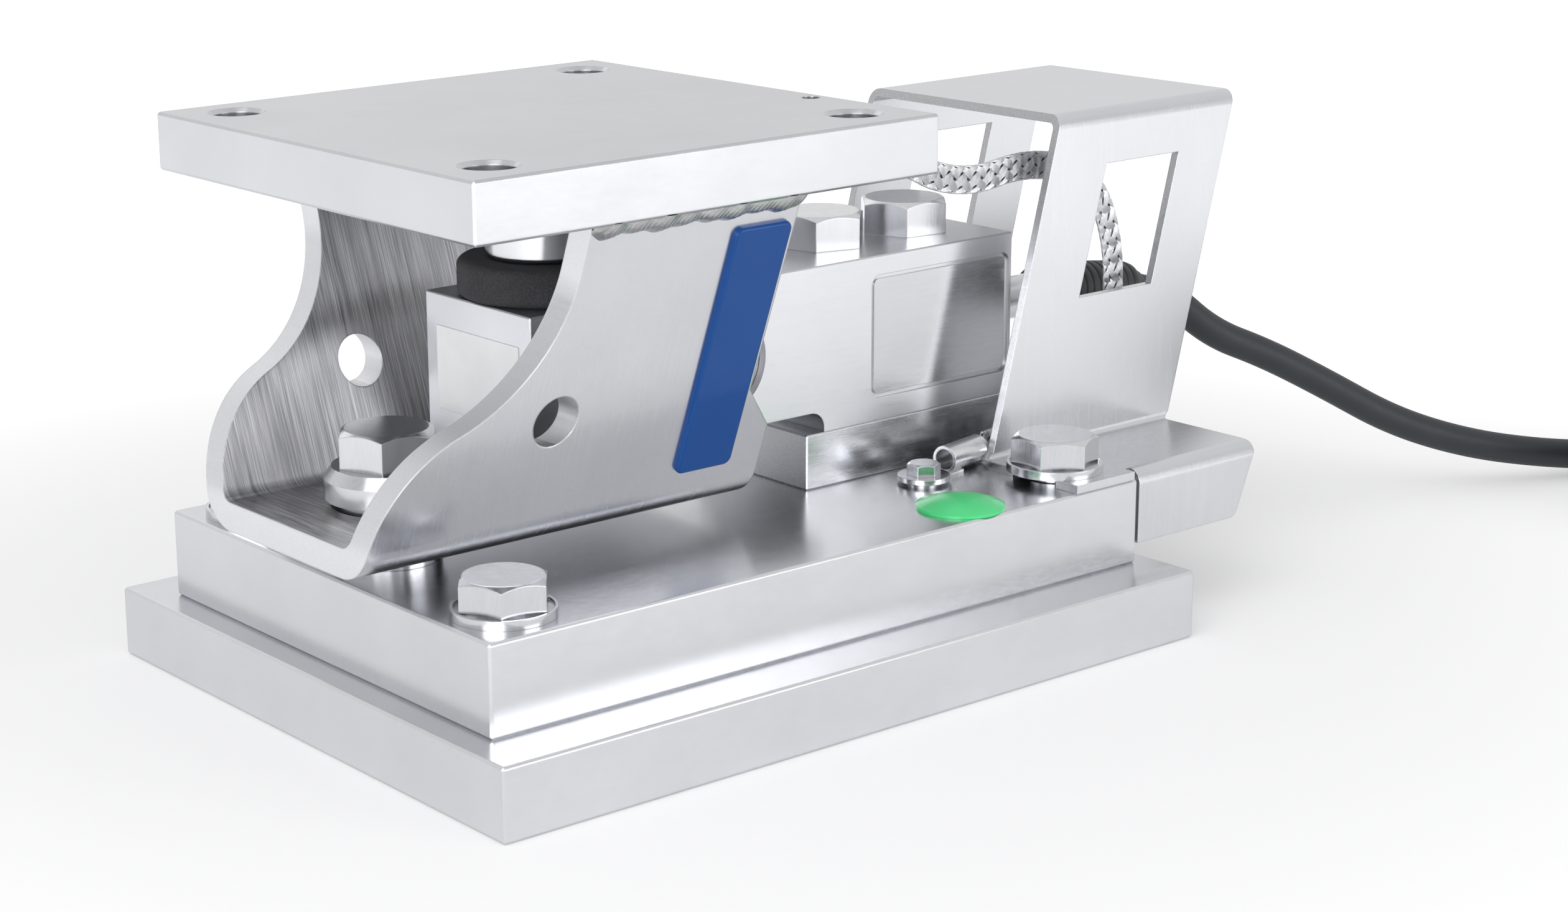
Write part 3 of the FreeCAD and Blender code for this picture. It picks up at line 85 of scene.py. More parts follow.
# Materials
class Surface:
    """A material whose nodes are added one by one."""

    def __init__(self, name, colour, metallic, roughness, **settings):
        self.material = bpy.data.materials.new(name)
        self.material.use_nodes = True
        self.tree = self.material.node_tree
        self.shader = self.tree.nodes["Principled BSDF"]
        self.set("Base Color", (*colour, 1.0))
        self.set("Metallic", metallic)
        self.set("Roughness", roughness)
        for socket, value in settings.items():
            self.set(socket.replace("_", " "), value)
        self.place = self.add("ShaderNodeTexCoord").outputs["Object"]

    def set(self, socket, value):
        self.give(self.shader.inputs[socket], value)

    def give(self, socket, value):
        if isinstance(value, bpy.types.NodeSocket):
            self.tree.links.new(value, socket)
        else:
            socket.default_value = value

    def add(self, kind, settings=None, **inputs):
        node = self.tree.nodes.new(kind)
        for name, value in (settings or {}).items():
            setattr(node, name, value)
        for name, value in inputs.items():
            key = int(name[1:]) if name[0] == "i" and name[1:].isdigit() else name.replace("_", " ")
            self.give(node.inputs[key], value)
        return node

    def math(self, operation, first, second=0.0):
        return self.add("ShaderNodeMath", {"operation": operation}, i0=first, i1=second).outputs[0]

    def mixed(self, first, share, second):
        """The first value and a share of the second, added up to a whole."""
        rest = self.math("MULTIPLY", first, 1.0 - share)
        return self.math("ADD", rest, self.math("MULTIPLY", second, share))

    def remap(self, value, low, high, to_low, to_high, smooth=False):
        kind = "SMOOTHSTEP" if smooth else "LINEAR"
        node = self.add("ShaderNodeMapRange", {"interpolation_type": kind}, Value=value)
        for key, amount in zip(("From Min", "From Max", "To Min", "To Max"), (low, high, to_low, to_high)):
            self.give(node.inputs[key], amount)
        return node.outputs[0]

    def noise(self, scale, detail=2.0, roughness=0.5, turned=(0.0, 0.0, 0.0), start=(0.0, 0.0, 0.0)):
        """Noise from 0 to 1, its scale per metre along each axis."""
        scales = scale if isinstance(scale, tuple) else (scale,) * 3
        placed = {"Vector": self.place, "Rotation": turned, "Scale": scales, "Location": start}
        spread = self.add("ShaderNodeMapping", **placed).outputs[0]
        kind = {"Vector": spread, "Scale": 1.0, "Detail": detail, "Roughness": roughness}
        return self.add("ShaderNodeTexNoise", **kind).outputs["Fac"]

    def grain(self, scale):
        """Fine and coarse marks of a grinding belt, their scale per metre along each axis."""
        coarse = self.noise(tuple(part / 5 for part in scale))
        return self.mixed(self.noise(scale, 3.0, 0.6), 0.3, coarse)

    def blend(self, share, first, second, kind="MIX"):
        """A colour mixed from two by a share."""
        node = self.add("ShaderNodeMix", {"data_type": "RGBA", "blend_type": kind})
        self.give(node.inputs[0], share)
        self.give(node.inputs[6], first)
        self.give(node.inputs[7], second)
        return node.outputs[2]

    def bump(self, height, distance, edge=None):
        """Raised and sunk spots, with edges that look rounded by a radius."""
        node = self.add("ShaderNodeBump", Height=height, Distance=distance)
        if edge is not None:
            rounded = self.add("ShaderNodeBevel", {"samples": 4}, Radius=edge)
            self.give(node.inputs["Normal"], rounded.outputs[0])
        self.set("Normal", node.outputs[0])

    def facing(self):
        """The surface's own direction as three numbers."""
        normal = self.add("ShaderNodeTexCoord").outputs["Normal"]
        return self.add("ShaderNodeSeparateXYZ", Vector=normal).outputs

    def spot(self):
        """The place on the object as three numbers."""
        return self.add("ShaderNodeSeparateXYZ", Vector=self.place).outputs


def shade(colour, factor):
    """The colour made lighter or darker."""
    return (*(min(part * factor, 1.0) for part in colour), 1.0)


def steel(
    name, colour, rough, grain, contrast=0.05, scatter=0.05, cloud=0.04, edge=0.0004, ridge=3e-6, level=None
):
    """Ground or brushed steel: fine grain, soft clouds and slightly rounded edges.

    The grain has a scale per metre along each axis, and level is the scale on faces that lie level.
    Contrast, scatter and cloud say how far the grain and the clouds change colour and roughness.
    """
    surface = Surface(name, colour, 1.0, rough)
    both = surface.grain(grain)
    if level:
        flat = surface.remap(surface.math("ABSOLUTE", surface.facing()[2]), 0.5, 0.7, 0.0, 1.0)
        both = surface.add("ShaderNodeMix", Factor=flat, A=both, B=surface.grain(level)).outputs["Result"]
    tone = surface.remap(both, 0.25, 0.75, 1.0 - contrast, 1.0 + contrast)
    soft = surface.remap(surface.noise(28.0, 3.0, 0.55), 0.3, 0.7, 1.0 - cloud, 1.0 + cloud)
    tint = surface.math("MULTIPLY", tone, soft)
    grey = surface.add("ShaderNodeCombineColor", Red=tint, Green=tint, Blue=tint).outputs[0]
    surface.tint = surface.blend(1.0, (*colour, 1.0), grey, "MULTIPLY")
    surface.tone = both
    surface.set("Base Color", surface.tint)
    surface.set("Roughness", surface.remap(both, 0.25, 0.75, rough - scatter, rough + scatter))
    surface.bump(both, ridge, edge)
    return surface


def ground_along_x(surface):
    """Grinding marks along X spread what the surface mirrors up and down."""
    surface.set("Anisotropic", 0.5)
    surface.set("Tangent", surface.add("ShaderNodeCombineXYZ", Y=0.3, Z=1.0).outputs[0])
    return surface


def plate_steel(name, colour=(0.69, 0.696, 0.72)):
    """Satin plate, its grain hardly seen."""
    surface = steel(name, colour, 0.24, (420.0, 1500.0, 1500.0), 0.03, 0.04, 0.03, 0.0005)
    return ground_along_x(surface)


def yoke_steel():
    """Bent plate: satin outside, streaked inside and bead blasted on its cut edges."""
    surface = steel("yoke_steel", (0.7, 0.706, 0.73), 0.23, (900.0, 900.0, 900.0), 0.02, 0.03, 0.03, 0.0006)
    x, y, z = surface.facing()
    streaks = surface.noise((3000.0, 45.0, 30.0), 4.0, 0.7, (0.0, 0.42, 0.0))
    wide = surface.noise((240.0, 60.0, 30.0), 3.0, 0.6, (0.0, 0.42, 0.0))
    dull = surface.mixed(streaks, 0.2, wide)
    inside = surface.remap(z, 0.05, 0.2, 0.0, 1.0)
    clear = surface.remap(dull, 0.36, 0.64, 0.0, 1.0)
    streaked = surface.blend(clear, (0.33, 0.33, 0.342, 1.0), (0.86, 0.86, 0.88, 1.0))
    body = surface.blend(inside, surface.tint, streaked)
    cut = surface.remap(surface.math("ABSOLUTE", x), 0.2, 0.3, 0.0, 1.0)
    blasted = surface.noise(2600.0, 2.0, 0.6)
    pale = surface.blend(blasted, (0.68, 0.685, 0.71, 1.0), (0.84, 0.845, 0.865, 1.0))
    surface.set("Base Color", surface.blend(cut, body, pale))
    satin = surface.remap(dull, 0.3, 0.7, 0.19, 0.29)
    rougher = surface.math("MAXIMUM", cut, surface.math("MULTIPLY", inside, 0.3))
    duller = surface.math("MULTIPLY", rougher, 0.24)
    surface.set("Roughness", surface.math("ADD", satin, duller))
    surface.set("Anisotropic", surface.math("MULTIPLY", inside, 0.85))
    surface.set("Tangent", surface.add("ShaderNodeCombineXYZ", X=1.0).outputs[0])
    ridges = surface.math("MULTIPLY", dull, surface.math("MULTIPLY", inside, 3.5))
    height = surface.math("ADD", ridges, surface.math("MULTIPLY", blasted, cut))
    surface.bump(height, 1.0e-5, 0.0007)
    return surface


def spacer_steel():
    """Ground block with dark mottled grinding marks on its long sides."""
    surface = steel("spacer_steel", (0.6, 0.606, 0.63), 0.25, (160.0, 2600.0, 2600.0), 0.06, 0.06, 0.05)
    patch = surface.noise((45.0, 90.0, 110.0), 3.0, 0.6, start=(0.35, 0.0, 0.1))
    marks = surface.noise((260.0, 2400.0, 2400.0), 4.0, 0.75)
    along = surface.remap(surface.spot()[0], 0.045, 0.062, 0.0, 1.0, True)
    dirt = surface.math("MULTIPLY", surface.remap(patch, 0.4, 0.65, 0.0, 1.0), along)
    dirt = surface.math("MULTIPLY", dirt, surface.remap(marks, 0.35, 0.6, 0.25, 1.0))
    surface.set("Base Color", surface.blend(dirt, surface.tint, (0.5, 0.5, 0.515, 1.0)))
    return surface


def bolt_steel():
    """Bright hexagon heads: ground flats and a dull pressed crown."""
    grain = (1700.0, 1700.0, 260.0)
    surface = steel("bolt_steel", (0.64, 0.645, 0.67), 0.21, grain, 0.06, 0.06, 0.05, 0.00035)
    crown = surface.remap(surface.facing()[2], 0.8, 0.95, 0.0, 1.0)
    pressed = surface.noise(420.0, 3.0, 0.6)
    dull = surface.blend(pressed, (0.62, 0.625, 0.64, 1.0), (0.8, 0.805, 0.825, 1.0))
    surface.set("Base Color", surface.blend(crown, surface.tint, dull))
    dents = surface.math("MULTIPLY", pressed, surface.math("MULTIPLY", crown, 1.4))
    height = surface.math("ADD", dents, surface.tone)
    surface.bump(height, 1.0e-5, 0.00045)
    return surface


def cover_steel():
    """Sheet with fine brushing, upright on its panels, and grey sheared edges."""
    upright = (3200.0, 3200.0, 70.0)
    lengthwise = (90.0, 3200.0, 3200.0)
    surface = steel(
        "cover_steel", (0.65, 0.656, 0.68), 0.26, upright, 0.03, 0.03, 0.02, 0.0004, 1.2e-6, lengthwise
    )
    sheared = surface.remap(surface.math("ABSOLUTE", surface.facing()[0]), 0.6, 0.8, 0.0, 1.0)
    burrs = surface.noise(1800.0, 3.0, 0.7)
    torn = surface.blend(burrs, (0.36, 0.365, 0.38, 1.0), (0.66, 0.665, 0.68, 1.0))
    surface.set("Base Color", surface.blend(sheared, surface.tint, torn))
    return surface


def matte(name, colour, rough, scale, depth, contrast=0.3, edge=None, **settings):
    """Rubber or foam: a dull surface with fine pits and a slow change of tone."""
    surface = Surface(name, colour, 0.0, rough, **settings)
    pits = surface.noise(scale, 4.0, 0.65)
    slow = surface.noise(60.0, 2.0)
    tone = surface.remap(surface.mixed(pits, 0.3, slow), 0.35, 0.65, 0.0, 1.0)
    dark = shade(colour, 1 - contrast)
    surface.set("Base Color", surface.blend(tone, dark, shade(colour, 1 + contrast)))
    surface.set("Roughness", surface.remap(pits, 0.3, 0.7, rough - 0.08, min(rough + 0.08, 1.0)))
    surface.bump(pits, depth, edge)
    return surface


def weld_steel():
    """Solidified bead: silvery ripples with a faint heat tint at its toes."""
    surface = Surface("weld_steel", (0.6, 0.595, 0.59), 1.0, 0.3)
    grains = surface.noise(1500.0, 4.0, 0.7)
    heat = surface.remap(surface.noise((90.0, 400.0, 400.0), 3.0, 0.6), 0.4, 0.65, 0.0, 1.0)
    warm = surface.blend(heat, (0.62, 0.62, 0.63, 1.0), (0.46, 0.45, 0.44, 1.0))
    specks = surface.remap(grains, 0.35, 0.65, 0.0, 0.35)
    surface.set("Base Color", surface.blend(specks, warm, (0.4, 0.395, 0.39, 1.0)))
    surface.set("Roughness", surface.remap(grains, 0.3, 0.7, 0.22, 0.4))
    surface.bump(grains, 2e-5)
    return surface


def resin():
    """Blue print under a clear poured dome."""
    surface = Surface("blue_resin", (0.004, 0.06, 0.25), 0.0, 0.4, Specular_IOR_Level=0.1)
    surface.set("Coat Weight", 0.6)
    surface.set("Coat Roughness", 0.05)
    surface.set("Coat IOR", 1.35)
    deep = surface.blend(surface.noise(40.0), (0.003, 0.054, 0.23, 1.0), (0.005, 0.066, 0.27, 1.0))
    surface.set("Base Color", deep)
    surface.bump(surface.noise(500.0), 3e-6)
    return surface


def plastic(name, colour, rough, **settings):
    """Moulded plastic with a slow change of tone and a faint orange peel."""
    surface = Surface(name, colour, 0.0, rough, **settings)
    slow = surface.noise(90.0, 2.0)
    surface.set("Base Color", surface.blend(slow, shade(colour, 0.92), shade(colour, 1.08)))
    fine = surface.noise(1200.0, 2.0)
    surface.set("Roughness", surface.remap(fine, 0.3, 0.7, rough - 0.03, rough + 0.03))
    surface.bump(surface.noise(1600.0, 2.0), 3e-6, 0.0003)
    return surface


def finishes():
    """The material of each CAD node and of the pieces that replace one."""
    turned_steel = steel("turned_steel", (0.63, 0.635, 0.655), 0.18, (900.0, 900.0, 2600.0))
    belt = (130.0, 3400.0, 3400.0)
    beam = steel("beam_steel", (0.64, 0.645, 0.67), 0.3, belt, 0.03, 0.04, 0.02, 0.00035, 2e-6)
    bolts = bolt_steel()
    lug = steel("lug_metal", (0.76, 0.762, 0.775), 0.26, (500.0, 500.0, 500.0), 0.04, 0.05, 0.05)
    rubber = matte("black_rubber", (0.022, 0.023, 0.026), 0.5, 1500.0, 1.5e-5, 0.25, 0.0003)
    name_grain = (200.0, 3000.0, 3000.0)
    cap = plastic("green_plastic", (0.06, 0.66, 0.215), 0.32, Coat_Weight=0.3, Coat_Roughness=0.15)
    return {
        "foundation_plate": plate_steel("foundation_steel"),
        "base_plate": plate_steel("base_steel"),
        "top_plate": plate_steel("top_steel", (0.59, 0.595, 0.615)),
        "cell_spacer": spacer_steel(),
        "load_cell_beam": ground_along_x(beam),
        "gauge_membranes": turned_steel,
        "retaining_collar": turned_steel,
        "receiver_cup": turned_steel,
        "rocker_pin": turned_steel,
        "nameplate": steel("nameplate_steel", (0.56, 0.562, 0.58), 0.17, name_grain, edge=0.0002),
        "corner_bolts": bolts,
        "corner_washers": bolts,
        "cell_bolts": bolts,
        "retaining_bolt": bolts,
        "strap_screw": bolts,
        "ground_screw": bolts,
        "ground_washer": bolts,
        "cable_gland": turned_steel,
        "yoke": yoke_steel(),
        "weld_beads": weld_steel(),
        "cell_cover": cover_steel(),
        "end_label": plastic("label_film", (0.92, 0.925, 0.94), 0.4),
        "badge": resin(),
        "green_cap": cap,
        "cable_sleeve": rubber,
        "lower_seal_ring": rubber,
        "upper_seal_ring": rubber,
        "foam_ring": matte("black_foam", (0.042, 0.042, 0.047), 0.85, 2300.0, 2.2e-4, 0.7),
        "signal_cable": matte("cable_jacket", (0.019, 0.023, 0.028), 0.55, 900.0, 1e-5, 0.2),
        "cable_coil": matte("coil_jacket", (0.019, 0.023, 0.028), 0.55, 900.0, 1e-5, 0.2),
        "cable_leads": plastic("core_insulation", (0.5, 0.1, 0.08), 0.4),
        "ground_strap": steel("braid_metal", (0.64, 0.645, 0.66), 0.28, (600.0, 600.0, 600.0), edge=None),
        "strap_lug": lug,
        "ground_lug": lug,
    }


surfaces = finishes()
for name, surface in surfaces.items():
    for slot in nodes[name].material_slots:
        slot.material = surface.material


# Pieces
def mesh_piece(name, points, faces, surface, body):
    """A smooth mesh in the row frame, which rides on a body if one is given."""
    mesh = bpy.data.meshes.new(name)
    mesh.from_pydata([tuple(point) for point in points], [], faces)
    mesh.validate()
    mesh.polygons.foreach_set("use_smooth", [True] * len(mesh.polygons))
    mesh.materials.append(surface.material)
    thing = bpy.data.objects.new(name, mesh)
    bpy.context.scene.collection.objects.link(thing)
    if body:
        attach(thing, body)
    return thing


def spline_curve(name, points, radius):
    """An open NURBS curve through the neighbourhood of given points."""
    data = bpy.data.curves.new(name, "CURVE")
    data.dimensions = "3D"
    data.resolution_u = 8
    data.bevel_depth = radius
    data.bevel_resolution = 5
    data.use_fill_caps = radius > 0
    spline = data.splines.new("NURBS")
    spline.points.add(len(points) - 1)
    for point, place in zip(spline.points, points):
        point.co = (*place, 1.0)
    spline.order_u = 3
    spline.use_endpoint_u = True
    thing = bpy.data.objects.new(name, data)
    bpy.context.scene.collection.objects.link(thing)
    return thing


def line_of(points):
    """The points that a spline without a bevel follows."""
    guide = spline_curve("guide", points, 0.0)
    bpy.context.view_layer.update()
    mesh = bpy.data.meshes.new_from_object(guide)
    line = [vertex.co.copy() for vertex in mesh.vertices]
    bpy.data.objects.remove(guide)
    return line


def even(line, step):
    """The same line with points a fixed step apart."""
    found = [line[0].copy()]
    left = step
    for start, stop in zip(line, line[1:]):
        span = (stop - start).length
        done = 0.0
        while span - done >= left:
            done += left
            found.append(start.lerp(stop, done / span))
            left = step
        left -= span - done
    return found


def tube(line, radii, count):
    """Rings of points round a line, and the faces between them and on the ends."""
    points = []
    side = Vector((0, 1, 0))
    for index, centre in enumerate(line):
        ahead = (line[min(index + 1, len(line) - 1)] - line[max(index - 1, 0)]).normalized()
        side = (side - ahead * side.dot(ahead)).normalized()
        up = ahead.cross(side)
        radius = radii[index] if isinstance(radii, list) else radii
        for number in range(count):
            angle = 2 * math.pi * number / count
            points.append(centre + (side * math.cos(angle) + up * math.sin(angle)) * radius)
    faces = []
    for index in range(len(line) - 1):
        for number in range(count):
            following = (number + 1) % count
            low = index * count
            faces.append((low + number, low + following, low + count + following, low + count + number))
    faces.append(tuple(reversed(range(count))))
    faces.append(tuple(range(len(points) - count, len(points))))
    return points, faces


# Signal cable with its coil of unseen length
CABLE_RADIUS = 5 * MM
CABLE_LENGTH = 2.89
SLEEVE_END = Vector((195.0, 0.0, 77.5)) * MM
SLEEVE_HEADING = Vector((0.9766, 0.0, -0.215))
CABLE_POINTS = [
    (210.6, 0.0, 74.06),
    (227.0, -5.0, 59.0),
    (246.0, -12.0, 50.5),
    (266.0, -21.5, 38.5),
    (287.0, -33.0, 24.5),
    (311.0, -45.0, 15.0),
    (338.0, -56.0, 9.0),
    (368.0, -66.0, 5.0),
]
COIL_CENTRE = Vector((388.0, -141.0, 0.0)) * MM
COIL_START = math.radians(75.3)
TURN_POINTS = 20
# The cable's length from the sleeve to the start of the coil
RUN_LONG = 0.246
# Degrees wound, then the radius and the height in millimetres
COIL_STEPS = [
    (0, 67.5, 5), (240, 67.5, 5), (360, 57.5, 5), (600, 57.5, 5), (720, 47.5, 5),
    (840, 47.5, 5), (960, 47.5, 15), (1080, 47.5, 15), (1200, 57.5, 15), (1440, 57.5, 15),
    (1560, 67.5, 15), (1680, 67.5, 15), (1800, 67.5, 25), (1920, 67.5, 25), (2040, 57.5, 25),
    (2280, 57.5, 25), (2400, 47.5, 25), (2760, 47.5, 25),
]


def coil_point(degrees):
    """The coil's turns: outwards and inwards in three layers, each column a cable's width apart."""
    for (start, radius, height), (stop, next_radius, next_height) in zip(COIL_STEPS, COIL_STEPS[1:]):
        if degrees <= stop:
            share = (degrees - start) / (stop - start)
            share = share * share * (3 - 2 * share)
            angle = COIL_START - math.radians(degrees)
            wide = (radius + (next_radius - radius) * share) / math.cos(math.pi / TURN_POINTS) * MM
            high = (height + (next_height - height) * share) * MM
            return COIL_CENTRE + Vector((wide * math.cos(angle), wide * math.sin(angle), high))


def cable():
    """One cable of its real length: out of the sleeve, down to the ground and into a neat coil."""
    route = [SLEEVE_END] + [Vector(point) * MM for point in CABLE_POINTS]
    long = RUN_LONG
    degrees = 0.0
    step = 360 / TURN_POINTS
    while True:
        point = coil_point(degrees)
        if degrees:
            gap = (point - route[-1]).length
            if long + gap > CABLE_LENGTH:
                break
            long += gap
        route.append(point)
        degrees += step
    thing = spline_curve("cable_line", route, CABLE_RADIUS)
    thing.data.materials.append(surfaces["signal_cable"].material)
    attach(thing, "root")
    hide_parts("signal_cable", "cable_coil")
    return thing, route[-2], route[-1]


CORE_CIRCLE = 2.2 * MM
CORE_RADIUS = 0.75 * MM
CORE_APART = 2.3 * MM
TIP_RADIUS = 0.4 * MM
TIP_LONG = 3 * MM
CORE_COLOURS = {
    "green": (0.03, 0.3, 0.06),
    "black": (0.02, 0.02, 0.022),
    "white": (0.8, 0.8, 0.78),
    "red": (0.5, 0.03, 0.02),
    "yellow": (0.75, 0.55, 0.04),
    "blue": (0.03, 0.1, 0.45),
}


def cores(before, end):
    """Six stripped cores that leave the cable's end and lie fanned on the coil."""
    ahead = (end - before)
    ahead = Vector((ahead.x, ahead.y, 0)).normalized()
    side = Vector((-ahead.y, ahead.x, 0))
    things = []
    for number, (name, colour) in enumerate(CORE_COLOURS.items()):
        angle = 2 * math.pi * number / len(CORE_COLOURS)
        offset = side * math.cos(angle) * CORE_CIRCLE + Vector((0, 0, math.sin(angle) * CORE_CIRCLE))
        spread = side * (number - (len(CORE_COLOURS) - 1) / 2) * CORE_APART
        points = [
            end - ahead * 1 * MM + offset,
            end + ahead * 6 * MM + offset,
            end + ahead * 13 * MM + offset.lerp(spread, 0.5) + Vector((0, 0, 4.5 * MM)),
            end + ahead * 21 * MM + spread + Vector((0, 0, 6.9 * MM)),
            end + ahead * 29 * MM + spread * 1.35 + Vector((0, 0, 6.6 * MM)),
        ]
        line = even(line_of(points), 0.7 * MM)
        points, faces = tube(line, CORE_RADIUS, 12)
        surface = plastic("core_" + name, colour, 0.4)
        things.append(mesh_piece("core_" + name, points, faces, surface, "root"))
        tip_end = line[-1] + (line[-1] - line[-2]).normalized() * TIP_LONG
        points, faces = tube(even([line[-1], tip_end], 0.5 * MM), TIP_RADIUS, 10)
        tip = mesh_piece("core_tip_" + name, points, faces, surfaces["ground_strap"], "root")
        things.append(tip)
    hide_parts("cable_leads")
    return things


cable_line, cable_before, cable_end = cable()
leads = cores(cable_before, cable_end)


# Ribbed sleeve
GLAND_END = Vector((150.0, 0.0, 82.4)) * MM
SLEEVE_LONG = 45 * MM
SLEEVE_DROP = 4.9 * MM
GROOVES = 13
RIBBED_LONG = 40.0
GROOVE = [(-0.55, 8.2), (-0.3, 8.1), (0.0, 7.7), (0.3, 8.1), (0.55, 8.2)]
TAIL = [(38.6, 8.2), (40.0, 7.9), (40.9, 7.2), (41.4, 6.5), (42.2, 6.2), (44.4, 5.9), (45.0, 5.5)]
# Places along the sleeve with their radius, both in millimetres
SLEEVE_PROFILE = [(0.0, 7.5), (0.5, 8.05)]
for number in range(1, GROOVES):
    middle = RIBBED_LONG * number / GROOVES
    SLEEVE_PROFILE += [(middle + along, radius) for along, radius in GROOVE]
SLEEVE_PROFILE += TAIL


def sleeve():
    """The strain relief: a grooved barrel that ends in a thin tail on the cable."""
    radius = (SLEEVE_LONG ** 2 + SLEEVE_DROP ** 2) / (2 * SLEEVE_DROP)
    angle = 2 * math.atan2(SLEEVE_DROP, SLEEVE_LONG)
    line = []
    radii = []
    for along, thick in SLEEVE_PROFILE:
        turned = angle * along * MM / SLEEVE_LONG
        line.append(GLAND_END + Vector((radius * math.sin(turned), 0, -radius * (1 - math.cos(turned)))))
        radii.append(thick * MM)
    points, faces = tube(line, radii, 64)
    thing = mesh_piece("ribbed_sleeve", points, faces, surfaces["cable_sleeve"], "root")
    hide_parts("cable_sleeve")


sleeve()


# Braided earth strap
STRAP_START = Vector((59.8, -29.7, 137.97)) * MM
STRAP_STOP = Vector((95.4, -33.2, 49.5)) * MM
# X and Z of the strap's way in millimetres
STRAP_POINTS = [
    (67.0, 137.4), (79.0, 130.6), (95.0, 127.8), (112.0, 130.6), (130.0, 128.4), (146.5, 119.0),
    (153.5, 100.0), (153.5, 80.0), (148.5, 62.0), (132.0, 51.0), (113.0, 49.8),
]
STRAP_Y = -29.7
STRAP_HALF_WIDE = 4.0 * MM
STRAP_HALF_THICK = 0.75 * MM
CARRIERS = 6
WIRES = 8
WIRE_RADIUS = 0.155 * MM
BUNDLE_SHARE = 0.82
CARRIER_LIFT = 0.26 * MM
BRAID_PITCH = 33 * MM
BRAID_STEP = 0.55 * MM


def braid():
    """A flat tube of interlaced carriers, a few wires each, edge up between its two lugs."""
    route = [STRAP_START] + [Vector((x, STRAP_Y, z)) * MM for x, z in STRAP_POINTS] + [STRAP_STOP]
    line = even(line_of(route), BRAID_STEP)
    frames = []
    for index, centre in enumerate(line):
        ahead = (line[min(index + 1, len(line) - 1)] - line[max(index - 1, 0)]).normalized()
        wide = ahead.cross(Vector((0, 1, 0))).normalized()
        frames.append((centre, wide, ahead.cross(wide), index * BRAID_STEP))
    points = []
    faces = []
    spread = 2 * math.pi * BUNDLE_SHARE / (CARRIERS * WIRES)
    for direction in (1, -1):
        for carrier in range(CARRIERS):
            for wire in range(WIRES):
                path = []
                for centre, wide, thick, along in frames:
                    over = direction * math.cos(2 * math.pi * along * CARRIERS / BRAID_PITCH)
                    angle = 2 * math.pi * (carrier / CARRIERS + direction * along / BRAID_PITCH)
                    angle += (wire - (WIRES - 1) / 2) * spread * (0.86 + 0.14 * over)
                    lift = CARRIER_LIFT * over
                    across = (STRAP_HALF_WIDE + 0.3 * lift) * math.cos(angle)
                    through = (STRAP_HALF_THICK + lift) * math.sin(angle)
                    path.append(centre + wide * across + thick * through)
                ring, sides = tube(path[::2] + [path[-1]], WIRE_RADIUS, 5)
                base = len(points)
                points.extend(ring)
                faces.extend(tuple(corner + base for corner in side) for side in sides)
    thing = mesh_piece("earth_braid", points, faces, surfaces["ground_strap"], None)
    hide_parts("ground_strap")
    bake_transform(thing)


braid()


# Weld beads
WELD_FRONT = -74.5 * MM
WELD_BACK = -6.5 * MM
WELD_TOP = 142.5 * MM
WELD_LEG_Y = 69.947 * MM
WELD_LEAN = 0.374
WELD_LEG = 4.3 * MM
WELD_SUNK = 0.3 * MM
WELD_BULGE = 0.9 * MM
RIPPLE_HIGH = 0.22 * MM
RIPPLE_LONG = 1.55 * MM
RIPPLE_BOW = 2.0 * MM
WELD_ROWS = 300
WELD_COLUMNS = 14


def welds():
    """Rippled fillet beads between the legs and the top plate."""
    points = []
    faces = []
    rows = WELD_ROWS
    columns = WELD_COLUMNS
    outward = Vector((0, 0.72, -0.69))
    for side in (-1, 1):
        base = len(points)
        for row in range(rows + 1):
            x = WELD_FRONT + (WELD_BACK - WELD_FRONT) * row / rows
            end = min(row, rows - row) / rows * 22
            fade = min(1.0, math.sqrt(max(end, 0.0)))
            wander = 1.0 + 0.10 * math.sin(x * 310.0 + side) + 0.07 * math.sin(x * 790.0)
            leg = WELD_LEG * wander * (0.45 + 0.55 * fade)
            foot = Vector((0, WELD_LEG_Y - WELD_LEAN * leg - WELD_SUNK, WELD_TOP - leg))
            head = Vector((0, WELD_LEG_Y + leg, WELD_TOP + WELD_SUNK))
            for column in range(columns + 1):
                share = column / columns
                phase = (x - RIPPLE_BOW * (2 * share - 1) ** 2) / RIPPLE_LONG
                ripple = abs(math.sin(phase * math.pi)) ** 0.6
                bulge = math.sin(math.pi * share) * (WELD_BULGE * fade + RIPPLE_HIGH * ripple)
                place = foot.lerp(head, share) + outward * bulge
                points.append((x, place.y * side, place.z))
        for row in range(rows):
            for column in range(columns):
                low = base + row * (columns + 1) + column
                face = (low, low + 1, low + columns + 2, low + columns + 1)
                faces.append(face if side > 0 else tuple(reversed(face)))
    thing = mesh_piece("weld_ripples", points, faces, surfaces["weld_beads"], "top")
    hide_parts("weld_beads")


welds()


# Floor, background and light
WHITE = (1.0, 1.0, 1.0, 1.0)
FLOOR_REACH = 6.0
FLOOR_GAP = 0.0002
ROOM = 0.68
BACKDROP = 0.86


def light_paths(tree, names=("Is Camera Ray", "Is Glossy Ray", "Is Transmission Ray")):
    """1 on the named kinds of ray: seen directly, mirrored or through glass."""
    path = tree.nodes.new("ShaderNodeLightPath")
    shares = [path.outputs[name] for name in names]
    total = shares[0]
    for share in shares[1:]:
        largest = tree.nodes.new("ShaderNodeMath")
        largest.operation = "MAXIMUM"
        tree.links.new(total, largest.inputs[0])
        tree.links.new(share, largest.inputs[1])
        total = largest.outputs[0]
    return total


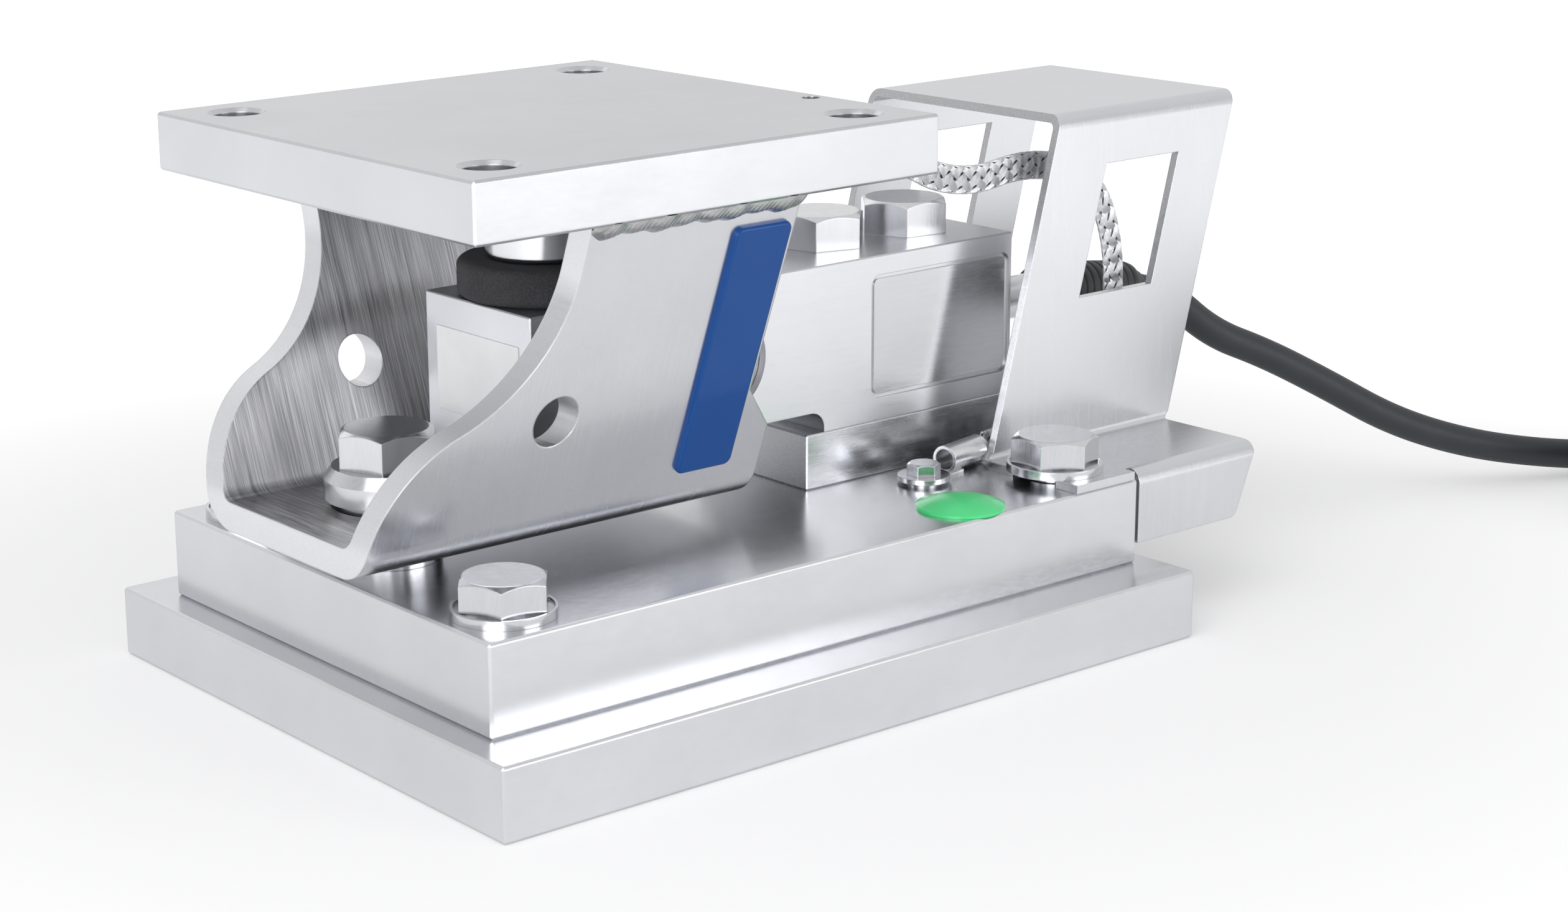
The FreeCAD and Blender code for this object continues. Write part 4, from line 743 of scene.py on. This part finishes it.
def floor():
    """White ground with the piece's soft shadow and a painted glow: dim near the piece as painted shade,
    brighter far off.
    """
    corners = [(x * FLOOR_REACH, y * FLOOR_REACH, 0) for x, y in ((-1, -1), (1, -1), (1, 1), (-1, 1))]
    mesh = bpy.data.meshes.new("Floor")
    mesh.from_pydata(corners, [], [(0, 1, 2, 3)])
    surface = Surface("floor", (0.8, 0.8, 0.805), 0.0, 0.9, Specular_IOR_Level=0.0)
    far = surface.add("ShaderNodeVectorMath", {"operation": "LENGTH"}, i0=surface.place).outputs["Value"]
    # Painted light: the floor's glow to camera and mirrors is dim near the piece as a painted shadow, and
    # brighter far off.
    painted_glow_dim_near_piece = surface.remap(far, 0.17, 0.65, 0.17, 0.57, True)
    surface.set("Emission Color", WHITE)
    surface.set("Emission Strength", surface.math("MULTIPLY", light_paths(surface.tree), painted_glow_dim_near_piece))
    mesh.materials.append(surface.material)
    thing = bpy.data.objects.new("Floor", mesh)
    thing.location.z = -FLOOR_GAP
    bpy.context.scene.collection.objects.link(thing)


def world():
    """White to the camera, and to metal a pale backdrop with a darker room before it."""
    studio = bpy.data.worlds.new("Studio")
    bpy.context.scene.world = studio
    studio.use_nodes = True
    tree = studio.node_tree

    def mix(names, first, second):
        """The first strength, or the second on the named kinds of ray."""
        node = tree.nodes.new("ShaderNodeMix")
        tree.links.new(light_paths(tree, names), node.inputs["Factor"])
        for key, value in (("A", first), ("B", second)):
            if isinstance(value, bpy.types.NodeSocket):
                tree.links.new(value, node.inputs[key])
            else:
                node.inputs[key].default_value = value
        return node.outputs["Result"]

    coordinates = tree.nodes.new("ShaderNodeTexCoord")
    behind = tree.nodes.new("ShaderNodeVectorMath")
    behind.operation = "DOT_PRODUCT"
    behind.inputs[1].default_value = (0.6, 0.8, 0.12)
    tree.links.new(coordinates.outputs["Generated"], behind.inputs[0])
    backdrop = tree.nodes.new("ShaderNodeMapRange")
    backdrop.interpolation_type = "SMOOTHSTEP"
    for key, amount in (("From Min", -0.25), ("From Max", 0.35), ("To Min", ROOM), ("To Max", BACKDROP)):
        backdrop.inputs[key].default_value = amount
    tree.links.new(behind.outputs["Value"], backdrop.inputs["Value"])
    mirrored = mix(("Is Glossy Ray", "Is Transmission Ray"), ROOM, backdrop.outputs[0])
    background = tree.nodes["Background"]
    background.inputs["Color"].default_value = WHITE
    tree.links.new(mix(("Is Camera Ray",), mirrored, 1.0), background.inputs["Strength"])


def lamp(name, place, aim, wide, tall, power):
    """A soft box that points at a place, its power in watts."""
    data = bpy.data.lights.new(name, "AREA")
    data.shape = "RECTANGLE"
    data.size = wide
    data.size_y = tall
    data.energy = power
    thing = bpy.data.objects.new(name, data)
    bpy.context.scene.collection.objects.link(thing)
    direction = Vector(aim) - Vector(place)
    aimed = direction.to_track_quat("-Z", "Y").to_matrix().to_4x4()
    thing.matrix_world = Matrix.Translation(place) @ aimed


floor()
world()
lamp("Key", (-0.9, -0.5, 1.5), (0, 0, 0.05), 1.2, 1.2, 5.5)
lamp("Front", (0.75, -1.8, 0.45), (0, 0, 0.08), 1.2, 0.7, 10.0)
lamp("Left", (-1.15, -0.75, 0.4), (-0.06, 0, 0.09), 0.9, 0.6, 7.0)
lamp("Back", (0.4, 1.6, 1.2), (0, 0, 0.05), 1.4, 0.8, 1.2)

bpy.context.scene.view_settings.view_transform = "Standard"
